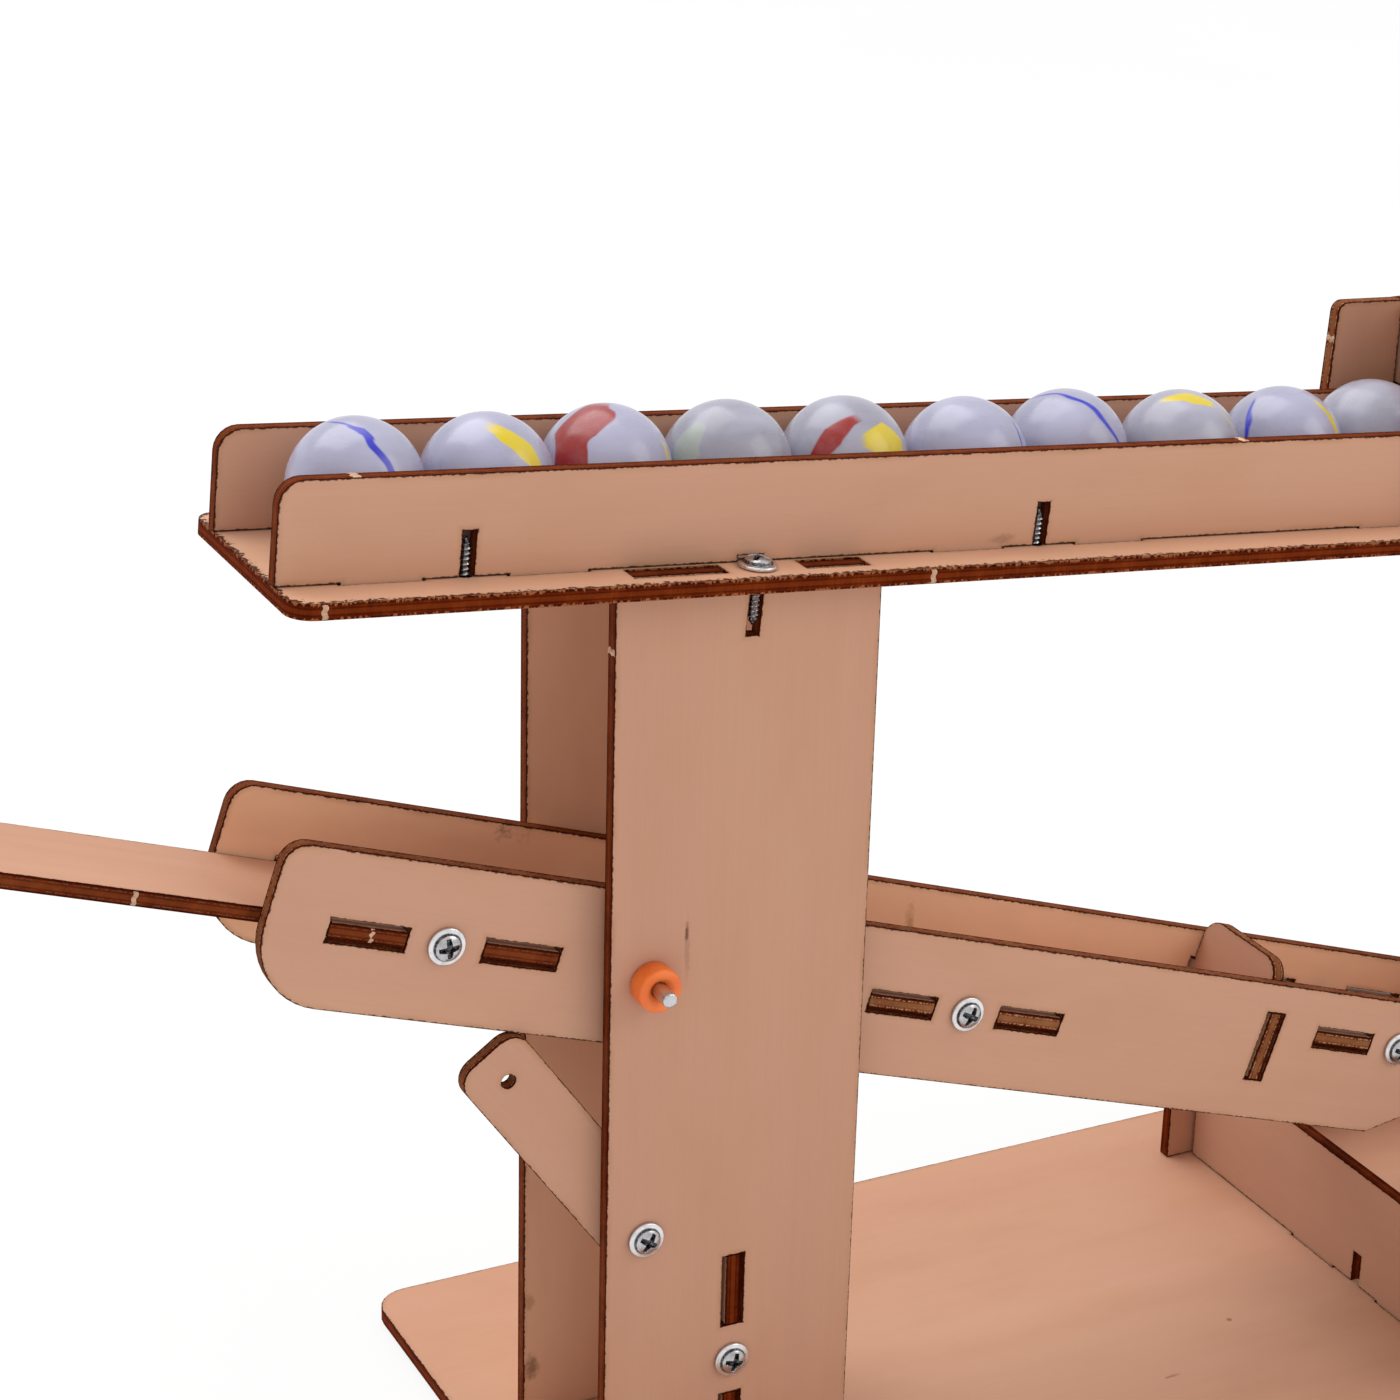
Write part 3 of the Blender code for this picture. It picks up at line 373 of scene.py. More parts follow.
def cut_lines(rim, along, across):
    """The panel's outline and holes as closed lines in millimetres, wood on their left."""
    links = {}
    for edge in rim:
        for here, there in (edge.verts, reversed(edge.verts)):
            links.setdefault(here, []).append(there)
    lines = []
    while links:
        start = here = next(iter(links))
        line = []
        before = None
        while here in links:
            line.append(Vector((here.co.dot(along), here.co.dot(across))) / MM)
            options = [vert for vert in links.pop(here) if vert is not before]
            before = here
            here = next((vert for vert in options if vert in links), start)
            if here is start:
                break
        lines.append(straightened(line))
    areas = [sum(a.x * b.y - b.x * a.y for a, b in zip(line, line[1:] + line[:1])) / 2
             for line in lines]
    outer = max(range(len(lines)), key=lambda number: abs(areas[number]))
    for number, line in enumerate(lines):
        if (areas[number] > 0) != (number == outer):
            line.reverse()
    return lines, outer


def straightened(line):
    """The line without the points that lie on a straight run."""
    kept = []
    for number, here in enumerate(line):
        first = (here - line[number - 1]).normalized()
        second = (line[(number + 1) % len(line)] - here).normalized()
        if first.dot(second) < STRAIGHT:
            kept.append(here)
    return kept


def mitres(line):
    """For each point, the step that moves it one millimetre into the wood."""
    steps = []
    for number, here in enumerate(line):
        first = (here - line[number - 1]).normalized()
        second = (line[(number + 1) % len(line)] - here).normalized()
        inward = Vector((-first.y, first.x)) + Vector((-second.y, second.x))
        share = 1 + first.dot(second)
        step = inward / max(share, MITRE_LEAST_SHARE)
        if step.length > MITRE_MOST:
            step = step.normalized() * MITRE_MOST
        steps.append(step)
    return steps


def reach_of(point, a, b):
    """Distance from a point to the run from a to b."""
    span = b - a
    share = min(1.0, max(0.0, (point - a).dot(span) / span.length_squared))
    return (point - a - span * share).length


def ring_shares(line, others):
    """For each point, how much of the rings' full width the wood around its two edges allows."""
    rooms = []
    for a, b in zip(line, line[1:] + line[:1]):
        least = RIM[-1] / WEB_SHARE
        for other in others:
            for c, d in zip(other, other[1:] + other[:1]):
                least = min(least, reach_of(a, c, d), reach_of(b, c, d), reach_of(c, a, b))
        rooms.append(least * WEB_SHARE / RIM[-1])
    return [min(rooms[number - 1], rooms[number]) for number in range(len(line))]


def refined_panel(node, char=0.13, tone=0.0, bare=0.0, frayed=0.0, pale_and_painted_light=0.0):
    """Stands for a CAD panel: softened edges, bands around each cut, and its own grain."""
    work = bmesh.new()
    work.from_mesh(NODES[node].data)
    bmesh.ops.remove_doubles(work, verts=work.verts, dist=WELD)
    bmesh.ops.recalc_face_normals(work, faces=work.faces)
    along, across, normal, rim_edges = panel_axes(work)
    lines, outer = cut_lines(rim_edges, along, across)
    levels = [vert.co.dot(normal) / MM for vert in work.verts]
    work.free()
    middle = (min(levels) + max(levels)) / 2
    half = (max(levels) - min(levels)) / 2
    points = []
    rims = []
    chars = []
    faces = []
    kinds = []
    inner = {1: [], -1: []}
    for number, line in enumerate(lines):
        steps = mitres(line)
        shares = ring_shares(line, lines[:number] + lines[number + 1:])
        count = len(line)
        first = {}
        for side in (1, -1):
            starts = []
            for ring, distance in enumerate(RIM):
                starts.append(len(points))
                level = half - (EDGE_ROUND if ring == 0 else 0.0)
                for point, step, share in zip(line, steps, shares):
                    points.append((*(point + step * distance * share), side * level))
                    rims.append(distance)
                    chars.append(char if number == outer else min(char, HOLE_CHAR))
            for ring in range(len(RIM) - 1):
                low, high = starts[ring], starts[ring + 1]
                for here in range(count):
                    there = (here + 1) % count
                    quad = (low + here, low + there, high + there, high + here)
                    faces.append(quad if side > 0 else quad[::-1])
                    kinds.append(1 if ring == 0 else 0)
            first[side] = starts[0]
            inner[side].append((starts[-1], count))
        for here in range(count):
            there = (here + 1) % count
            faces.append((first[-1] + here, first[-1] + there, first[1] + there, first[1] + here))
            kinds.append(1)
    for side in (1, -1):
        order = [start + step for start, count in inner[side] for step in range(count)]
        loops = [[Vector((*points[start + step][:2], 0)) for step in range(count)]
                 for start, count in inner[side]]
        for a, b, c in tessellate_polygon(loops):
            p, q, r = (Vector(points[order[i]][:2]) for i in (a, b, c))
            turn = (q - p).cross(r - p)
            if abs(turn) < 1e-9:
                continue
            tri = (order[a], order[b], order[c])
            faces.append(tri if (turn > 0) == (side > 0) else tri[::-1])
            kinds.append(0)
    mesh = bpy.data.meshes.new(node + "_looks")
    mesh.from_pydata([(along * u + across * v + normal * (w + middle)) * MM
                      for u, v, w in points], [], faces)
    mesh.materials.append(FACE)
    mesh.materials.append(EDGE)
    mesh.polygons.foreach_set("material_index", kinds)
    shift = Vector((random.uniform(-SHIFT_MOST, SHIFT_MOST),
                    random.uniform(-SHIFT_MOST, SHIFT_MOST), 0))
    vector_layer(mesh, "grain", [c for point in points for c in Vector(point) + shift])
    float_layer(mesh, "rim", rims)
    float_layer(mesh, "through", [point[2] / half for point in points])
    float_layer(mesh, "char", chars)
    for name, value in (("tone", tone), ("bare", bare), ("frayed", frayed), ("pale_and_painted_light", pale_and_painted_light)):
        float_layer(mesh, name, [value] * len(points))
    mesh.update()
    mesh.shade_smooth()
    mesh.set_sharp_from_angle(angle=math.radians(SHARP_PANEL))
    stand_for(node, mesh)


def add_piece(name, mesh, body, place=None):
    """Puts a mesh in the scene, riding on a body."""
    thing = bpy.data.objects.new(name, mesh)
    bpy.context.scene.collection.objects.link(thing)
    if place is not None:
        thing.matrix_world = place
    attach(thing, body)
    return thing


def stand_for(node, mesh, place=None):
    """Puts a mesh in the scene in place of a CAD node."""
    thing = add_piece(node + "_looks", mesh, BODY_OF[node], place)
    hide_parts(node)


def mesh_of(work, name, material):
    """The mesh of a bmesh, which is freed."""
    mesh = bpy.data.meshes.new(name)
    work.to_mesh(mesh)
    work.free()
    mesh.materials.append(material)
    return mesh


# ---------------------------------------- turned pieces
def lathe(name, profile, steps, material, sharp, shape=None):
    """Mesh turned about Z from (radius, height) in millimetres; shape may move its points.

    Faces that meet at more than sharp degrees are shaded as a crease.
    """
    work = bmesh.new()
    rings = []
    for row, (radius, height) in enumerate(profile):
        if radius == 0:
            rings.append([work.verts.new((0, 0, height * MM))])
            continue
        ring = []
        for step in range(steps):
            angle = 2 * math.pi * step / steps
            point = Vector((radius * math.cos(angle), radius * math.sin(angle), height))
            if shape:
                point = shape(point, angle, row)
            ring.append(work.verts.new(point * MM))
        rings.append(ring)
    pairs = list(zip(rings, rings[1:]))
    if profile[0][0] > 0:
        pairs.append((rings[-1], rings[0]))
    for low, high in pairs:
        for step in range(steps):
            after = (step + 1) % steps
            if len(low) == 1:
                work.faces.new((low[0], high[after], high[step]))
            elif len(high) == 1:
                work.faces.new((low[step], low[after], high[0]))
            else:
                work.faces.new((low[step], low[after], high[after], high[step]))
    bmesh.ops.recalc_face_normals(work, faces=work.faces)
    mesh = mesh_of(work, name, material)
    mesh.shade_smooth()
    mesh.set_sharp_from_angle(angle=math.radians(sharp))
    return mesh


# ---------------------------------------- metal, plastic
def zinc():
    """Zinc-plated screw, darkened where its mesh says so: a film of dirt, and painted shade in its
    recess, the groove round its head and its thread's root.
    """
    tree = Tree("zinc_plate")
    where = tree.where()
    cloud = tree.noise(where, 900.0, 3.0, 0.6)
    scratch = tree.noise(where, 1.0, 3.0, 0.7, (9000, 9000, 1500))
    colour = tree.ramp(cloud, [(0.3, (0.62, 0.62, 0.64)), (0.55, (0.80, 0.80, 0.82)),
                               (0.8, (0.88, 0.87, 0.89))])
    # the mesh's darkness, made patchy: dirt, and painted shade in the recess, the groove round the
    # head and the thread's root
    patchy = tree.remap(tree.noise(where, 3200.0, 2.0, 0.6), 0.3, 0.7, 0.75, 1.15)
    dirt_and_shade = tree.times(tree.attribute("dirt_and_recess_shade"), patchy, clamp=True)
    colour = tree.mix(dirt_and_shade, colour, (0.030, 0.028, 0.032))
    return tree.finish(colour, tree.remap(scratch, 0.25, 0.75, 0.20, 0.38),
                       tree.bump(scratch, 0.00001, 0.35), {"Metallic": 1.0})


def drawn_steel():
    """Drawn steel wire, with fine lines along it."""
    tree = Tree("drawn_steel")
    line = tree.noise(tree.where(), 1.0, 3.0, 0.7, (7000, 7000, 260))
    colour = tree.ramp(line, [(0.3, (0.48, 0.48, 0.50)), (0.7, (0.74, 0.73, 0.75))])
    return tree.finish(colour, tree.remap(line, 0.25, 0.75, 0.24, 0.42),
                       tree.bump(line, 0.00001, 0.4), {"Metallic": 1.0})


def orange_plastic():
    """Slightly translucent orange plastic."""
    tree = Tree("orange_plastic")
    where = tree.where()
    cloud = tree.noise(where, 260.0, 2.0, 0.5)
    speck = tree.noise(where, 5200.0, 2.0, 0.6)
    colour = tree.ramp(cloud, [(0.3, (0.80, 0.150, 0.018)), (0.6, (0.88, 0.195, 0.028)),
                               (0.8, (0.90, 0.230, 0.040))])
    return tree.finish(colour, tree.remap(speck, 0.3, 0.7, 0.34, 0.50),
                       tree.bump(speck, 0.00001, 0.5),
                       {"Subsurface Weight": 0.25, "Subsurface Radius": (1.0, 0.45, 0.15),
                        "Subsurface Scale": 0.0009})


# ---------------------------------------- screws
WASHER_R = 2.45
WASHER_H = 0.45
HEAD_R = 1.80
HEAD_H = 1.35
HEAD_ROWS = 26           # rings of points from the head's middle to its rim
HEAD_STEPS = 72          # points in a ring
THREAD_R = 0.75
CORE_R = 0.56
PITCH = 0.62
TURN_ROWS = 8            # rings of points in one turn of the thread
RIDGE_HALF = 0.30        # half width of the thread's ridge, as a share of its pitch
TIP_TAPER = 0.9          # the screw narrows over this length
TIP_SHARE = 0.35         # to this share of its width
TIP_LENGTH = 0.35        # and ends in a cone this long
RECESS_R = 1.34          # reach of the cross recess
RECESS_DEPTH = 0.80
CROSS_HALF = 0.38        # half width of the cross's arms
CROSS_MIDDLE_R = 0.52    # radius of the well where its arms meet
MIDDLE_DEPTH = 0.92      # and its depth, as a share of the recess's


def cross_depth(x, y):
    """Depth of the cross recess at a point of the head, 0 outside it."""
    arm = min(abs(x), abs(y))
    reach = max(abs(x), abs(y))
    taper = CROSS_HALF * (1.15 - 0.45 * reach / RECESS_R)
    wall = min(1.0, max(0.0, (taper - arm) / 0.07))
    end = min(1.0, max(0.0, (RECESS_R - reach) / 0.10))
    sink = 1.0 - 0.62 * (reach / RECESS_R) ** 1.4
    middle = min(1.0, max(0.0, (CROSS_MIDDLE_R - math.hypot(x, y)) / 0.10))
    return RECESS_DEPTH * max(wall * end * sink, middle * MIDDLE_DEPTH)


def head_top(radius):
    """Height of the domed head over its seat, at this radius."""
    share = min(1.0, radius / HEAD_R)
    return WASHER_H + (HEAD_H - WASHER_H) * (1 - share ** 3.2 * 0.62) - 0.04


def screw_head_profile():
    """From the head's middle out to the washer's foot: (radius, height over the seat)."""
    rows = [(0.0, head_top(0) - RECESS_DEPTH * MIDDLE_DEPTH)]
    for step in range(1, HEAD_ROWS + 1):
        radius = (HEAD_R - 0.10) * step / HEAD_ROWS
        rows.append((radius, head_top(radius)))
    return rows + [(HEAD_R - 0.02, head_top(HEAD_R) - 0.07), (HEAD_R, WASHER_H + 0.16),
                   (HEAD_R + 0.03, WASHER_H + 0.03), (HEAD_R + 0.12, WASHER_H - 0.02),
                   (WASHER_R - 0.16, WASHER_H), (WASHER_R - 0.05, WASHER_H - 0.04),
                   (WASHER_R, WASHER_H - 0.14), (WASHER_R, 0.07), (WASHER_R - 0.06, 0.0)]


def screw_mesh(name, length):
    """Pan-head screw with a cross recess, a washer face and a rolled thread along -Z."""
    profile = screw_head_profile()
    head_rows = len(profile)
    profile.append((CORE_R, 0.0))
    count = int((length - 0.05) / PITCH * TURN_ROWS)
    for step in range(1, count + 1):
        profile.append((CORE_R, -(length - TIP_LENGTH) * step / count))
    profile.append((0.0, -length))

    def shape(point, angle, row):
        radius = math.hypot(point.x, point.y)
        if row < head_rows and radius < HEAD_R - 0.05 and point.z > WASHER_H:
            point.z -= cross_depth(point.x, point.y)
        elif row > head_rows:
            turn = (-point.z / PITCH + angle / (2 * math.pi)) % 1.0
            ridge = max(0.0, 1 - abs(turn - 0.5) / RIDGE_HALF)
            fade = min(1.0, max(0.0, (length - 0.2 + point.z) / TIP_TAPER))
            fade = TIP_SHARE + (1 - TIP_SHARE) * fade
            size = (CORE_R + (THREAD_R - CORE_R) * ridge) * fade
            point.x *= size / CORE_R
            point.y *= size / CORE_R
        return point

    mesh = lathe(name, profile, HEAD_STEPS, ZINC, 50, shape)
    # darkness of each point: painted shade in the recess, the groove round the head and the
    # thread's root, and dirt elsewhere
    float_layer(mesh, "dirt_and_recess_shade", [dirt_and_recess_shade(vert.co / MM) for vert in mesh.vertices])
    return mesh


def dirt_and_recess_shade(point):
    """How dark a place of a screw is painted: painted shade in its recess, in the groove round its
    head and at its thread's root, and a film of dirt elsewhere.
    """
    radius = math.hypot(point.x, point.y)
    if point.z < -0.01:
        return 0.15 + 0.75 * min(1.0, max(0.0, (THREAD_R - radius) / (THREAD_R - CORE_R)))
    if radius < HEAD_R - 0.12:
        sunk = (head_top(radius) - point.z) / RECESS_DEPTH
        return 0.36 + 0.64 * min(1.0, max(0.0, sunk * 2.8))
    if radius < HEAD_R + 0.10:
        return 0.90
    return 0.06


def screw_frame(seat, outward, spin):
    """Matrix that puts a screw's seat on a point with its head along outward."""
    turn = Vector((0, 0, 1)).rotation_difference(outward).to_matrix().to_4x4()
    return Matrix.Translation(seat) @ turn @ Matrix.Rotation(spin, 4, "Z")


# ---------------------------------------- lines the pieces lie along
def tilted(degrees):
    """X and Z axes of a piece turned about Y by this angle."""
    turn = Matrix.Rotation(math.radians(degrees), 3, "Y")
    return turn @ Vector((1, 0, 0)), turn @ Vector((0, 0, 1))


CHANNEL_SLOPE = 4.7
BEAM_TILT = 18.2
CHANNEL_X, CHANNEL_Z = tilted(CHANNEL_SLOPE)
BEAM_X, BEAM_Z = tilted(BEAM_TILT)
BEAM_PIVOT = Vector((5.5, 0, 79.7))
CHANNEL_START = Vector((0, 0, 131.8))


def outward_of(node):
    """Direction in which a screw's head faces."""
    if node.startswith(("front_rail_screw", "right_arm")):
        return -CHANNEL_Z
    if node.startswith("left_tower"):
        return CHANNEL_Z
    if node == "counterweight_screw":
        return BEAM_Z
    return Vector((0, 1 if "rear" in node else -1, 0))


def screw_place(node):
    """Seat, direction and length of a CAD screw, in metres."""
    spots = {tuple(round(c, 7) for c in vert.co) for vert in NODES[node].data.vertices}
    spots = [Vector(spot) for spot in spots]
    centre = sum(spots, Vector()) / len(spots)
    outward = outward_of(node)
    levels = [(spot - centre).dot(outward) for spot in spots]
    top = max(levels)
    seat = centre + outward * (top - HEAD_H * MM)
    return seat, outward, (top - min(levels)) / MM - HEAD_H


def add_screws():
    """A screw for each of the CAD's, and those of the rear rail and the right brace."""
    meshes = {}

    def mesh_for(length):
        key = round(length, 1)
        if key not in meshes:
            meshes[key] = screw_mesh(f"screw_{int(key * 10)}", key)
        return meshes[key]

    screws = [node for node in NODES if "_screw" in node]
    for node in sorted(screws):
        seat, outward, length = screw_place(node)
        spin = random.uniform(0, math.pi / 2)
        stand_for(node, mesh_for(length), screw_frame(seat, outward, spin))
        if node.startswith("front_rail_screw"):
            mirrored = Vector((seat.x, -seat.y, seat.z))
            add_piece(node.replace("front", "rear"), mesh_for(length), "frame",
                      screw_frame(mirrored, outward, spin + 0.5))
    seat, outward, length = screw_place("left_brace_front_screw")
    low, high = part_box("right_brace")
    for name, side in (("front", 1), ("rear", -1)):
        spot = Vector(((low.x + high.x) / 2, seat.y * side, (low.z + high.z) / 2))
        add_piece(f"right_brace_{name}_screw", mesh_for(length), "frame",
                  screw_frame(spot, outward * side, 0.4 * side))


# ---------------------------------------- axle and its plastic rings
def along_y(node):
    """Middle of a piece that lies along Y, its half length and its outer radius."""
    low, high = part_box(node)
    return (low + high) / 2, (high.y - low.y) / 2 / MM, (high.x - low.x) / 2 / MM


AXLE_CHAMFER = 0.42      # length of the axle's rounded ends
AXLE_ROWS = 24           # rings of points between them
BORE_R = 1.05            # of the plastic rings on the axle
RING_EDGE = 0.12         # chamfer of their outer edges


def axle_mesh(half, radius):
    """The axle along Z, with rounded and slightly ragged ends."""
    end = [(radius * 0.45, half), (radius * 0.78, half - 0.05), (radius * 0.95, half - 0.20)]
    inner = half - AXLE_CHAMFER
    profile = [(0, -half)] + [(size, -height) for size, height in end] + [(radius, -inner)]
    profile += [(radius, -inner + 2 * inner * step / AXLE_ROWS)
                for step in range(1, AXLE_ROWS + 1)]
    profile += end[::-1] + [(0, half)]

    def shape(point, angle, row):
        if abs(point.z) > half - 0.3:
            nick = noise.noise(Vector((point.x * 2.1, point.y * 2.1, point.z)) * 1.7)
            point.z -= 0.07 * nick * math.copysign(1, point.z)
        return point

    return lathe("beam_axle", profile, 40, STEEL, 40, shape)


def bushing_profile(half, radius):
    """Outside of a bushing, with a rounded outer end that is dished round the axle."""
    return [(BORE_R, -half), (radius - RING_EDGE, -half), (radius, -half + RING_EDGE),
            (radius, half - 0.42), (radius - 0.05, half - 0.22), (radius - 0.17, half - 0.07),
            (radius - 0.36, half), (BORE_R + 0.95, half), (BORE_R + 0.62, half - 0.10),
            (BORE_R + 0.34, half - 0.42), (BORE_R + 0.06, half - 0.60), (BORE_R, half - 0.75)]


def spacer_profile(half, radius):
    """Outside of a plain ring with chamfered edges."""
    return [(BORE_R, -half), (radius - RING_EDGE, -half), (radius, -half + RING_EDGE),
            (radius, half - RING_EDGE), (radius - RING_EDGE, half), (BORE_R, half)]


def add_ring(node, profile_of, steps, degrees):
    """A plastic ring on the axle, its Z turned about X by this angle."""
    middle, half, radius = along_y(node)
    mesh = lathe(node, profile_of(half, radius), steps, ORANGE, 50)
    turn = Matrix.Rotation(math.radians(degrees), 4, "X")
    stand_for(node, mesh, Matrix.Translation(middle) @ turn)


def add_axle():
    """The beam's axle with its bushings outside the uprights and its spacers inside them."""
    middle, half, radius = along_y("beam_axle")
    turn = Matrix.Rotation(math.radians(90), 4, "X")
    stand_for("beam_axle", axle_mesh(half, radius), Matrix.Translation(middle) @ turn)
    add_ring("front_bushing", bushing_profile, 56, 90)
    add_ring("rear_bushing", bushing_profile, 56, -90)
    add_ring("front_spacer", spacer_profile, 48, 90)
    add_ring("rear_spacer", spacer_profile, 48, 90)


# ---------------------------------------- marbles
BLUE = (0.012, 0.016, 0.45)
YELLOW = (0.66, 0.50, 0.002)
RED = (0.300, 0.006, 0.001)
GREEN = (0.42, 0.50, 0.34)
MILK = (0.355, 0.345, 0.470)
GREY = (0.335, 0.325, 0.400)

# Each marble's glass and its streaks. A streak has its middle on the marble's near side (right,
# up), its heading in degrees from the right towards up, its half width and half length on the
# unit ball, its colour and its strength.
STREAKS = {
    1: (MILK, [((0.34, 0.52), -50, 0.060, 0.90, BLUE, 1.0),
               ((0.14, 0.70), -36, 0.10, 0.24, BLUE, 1.0)]),
    2: (MILK, [((0.60, 0.36), -42, 0.20, 0.62, YELLOW, 1.0)]),
    3: (MILK, [((-0.40, 0.50), 84, 0.42, 0.75, RED, 1.0),
               ((0.93, 0.16), -70, 0.07, 0.3, YELLOW, 0.8)]),
    4: (GREY, [((-0.60, 0.22), 60, 0.26, 0.45, GREEN, 0.45)]),
    5: (GREY, [((-0.20, 0.30), 46, 0.17, 0.50, RED, 1.0),
               ((0.64, 0.20), 6, 0.34, 0.42, YELLOW, 1.0)]),
    6: (MILK, [((0.84, 0.30), -66, 0.030, 0.40, BLUE, 0.9)]),
    7: (MILK, [((0.36, 0.62), -46, 0.050, 0.95, BLUE, 1.0)]),
    8: (GREY, [((0.08, 0.80), 0, 0.19, 0.44, YELLOW, 1.0),
               ((0.75, 0.45), -50, 0.05, 0.25, YELLOW, 0.35)]),
    9: (MILK, [((-0.62, 0.40), 92, 0.050, 0.44, BLUE, 1.0),
               ((0.72, 0.42), -60, 0.085, 0.40, YELLOW, 1.0)]),
    10: (GREY, [((0.30, 0.20), 30, 0.20, 0.40, MILK, 0.5)]),
}
BALL_DIVISIONS = 5
PIT_SHARE = 0.004        # how deep a marble's dents are, as a share of its radius


def near_side(right, up):
    """Unit direction to this point of a ball's side that faces the camera's rest place."""
    back = math.sqrt(max(0.0, 1 - right * right - up * up))
    return (RIGHT * right + UP * up + BACK * back).normalized()


def streak_mask(tree, ball, ragged, bend, place, heading, width, length, strength):
    """How much one streak covers each point of a ball."""
    middle = near_side(*place)
    turn = math.radians(heading)
    run = RIGHT * math.cos(turn) + UP * math.sin(turn)
    run = (run - middle * run.dot(middle)).normalized()
    side = middle.cross(run)
    away = tree.vector("SUBTRACT", ball, tuple(middle))
    lengthwise = tree.math("ABSOLUTE", tree.vector("DOT_PRODUCT", away, tuple(run)))
    sideways = tree.vector("DOT_PRODUCT", away, tuple(side))
    sideways = tree.math("ADD", sideways, tree.remap(bend, 0.2, 0.8, -0.07, 0.07))
    sideways = tree.math("ABSOLUTE", sideways)
    taper = tree.remap(lengthwise, 0.0, length, 1.0, 0.35)
    grow = tree.remap(bend, 0.25, 0.75, -0.25, 0.25)
    reach = tree.times(tree.math("ADD", taper, grow), width)
    inside = tree.smooth(tree.math("SUBTRACT", reach, sideways), -0.022, 0.022)
    end = tree.inverse(tree.smooth(lengthwise, length * 0.78, length * 1.12))
    facing = tree.smooth(tree.vector("DOT_PRODUCT", ball, tuple(middle)), 0.0, 0.2)
    mask = tree.times(tree.times(inside, end), facing)
    return tree.times(mask, tree.remap(ragged, 0.2, 0.6, 0.88 * strength, strength))


def marble_glass(number):
    """Milky glass with this marble's streaks."""
    body, streaks = STREAKS[number]
    tree = Tree(f"marble_glass_{number}")
    ball = tree.attribute("ball", "Vector")
    seeded = tree.vector("ADD", ball, (number * 3.7, number * 1.9, number * 5.3))
    swirl = tree.noise(seeded, 0.9, 1.0, 0.5)
    wisp = tree.noise(seeded, 1.0, 2.0, 0.5, (1.0, 2.2, 3.0))
    colour = tree.ramp(swirl, [(0.30, tuple(c * 0.86 for c in body)), (0.52, body),
                               (0.74, tuple(min(1.0, c * 1.18) for c in body))])
    colour = tree.mix(tree.remap(wisp, 0.45, 0.75, 0.0, 0.35), colour, (0.500, 0.495, 0.620))
    ragged = tree.noise(seeded, 5.5, 3.0, 0.6)
    bend = tree.noise(seeded, 1.6, 1.0, 0.5)
    for place, heading, width, length, paint, strength in streaks:
        mask = streak_mask(tree, ball, ragged, bend, place, heading, width, length, strength)
        colour = tree.mix(mask, colour, paint)
    return tree.finish(colour, tree.remap(wisp, 0.3, 0.7, 0.24, 0.34),
                       tree.bump(ragged, 0.00003, 0.25),
                       {"Subsurface Weight": 0.10, "Subsurface Radius": (1.0, 1.0, 1.1),
                        "Subsurface Scale": 0.0006, "Coat Weight": 0.22,
                        "Coat Roughness": 0.14, "IOR": 1.5})


def add_marbles():
    """A slightly dented ball for each marble of the CAD."""
    numbers = [int(node.split("_")[1]) for node in NODES if node.startswith("marble_")]
    for number in sorted(numbers):
        node = f"marble_{number}"
        low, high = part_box(node)
        middle = (low + high) / 2
        radius = (high.z - low.z) / 2
        work = bmesh.new()
        bmesh.ops.create_icosphere(work, subdivisions=BALL_DIVISIONS, radius=1.0)
        ball = []
        for vert in work.verts:
            unit = vert.co.copy()
            ball.extend(unit)
            pit = noise.noise(unit * 2.2 + Vector((number * 7.1, 0, 0)))
            vert.co = unit * radius * (1 - PIT_SHARE * abs(pit))
        mesh = mesh_of(work, node + "_looks", marble_glass(number))
        vector_layer(mesh, "ball", ball)
        mesh.shade_smooth()
        stand_for(node, mesh, Matrix.Translation(middle))


# ---------------------------------------- bridges left from the sheet
NUB_ROWS = 7             # points across the ply
NUB_COLS = 5             # points along its edge
NUB_LEAST = 0.03         # lowest rise of a stub's torn face
NUB_ROOT = 0.15          # how far it reaches into the wood


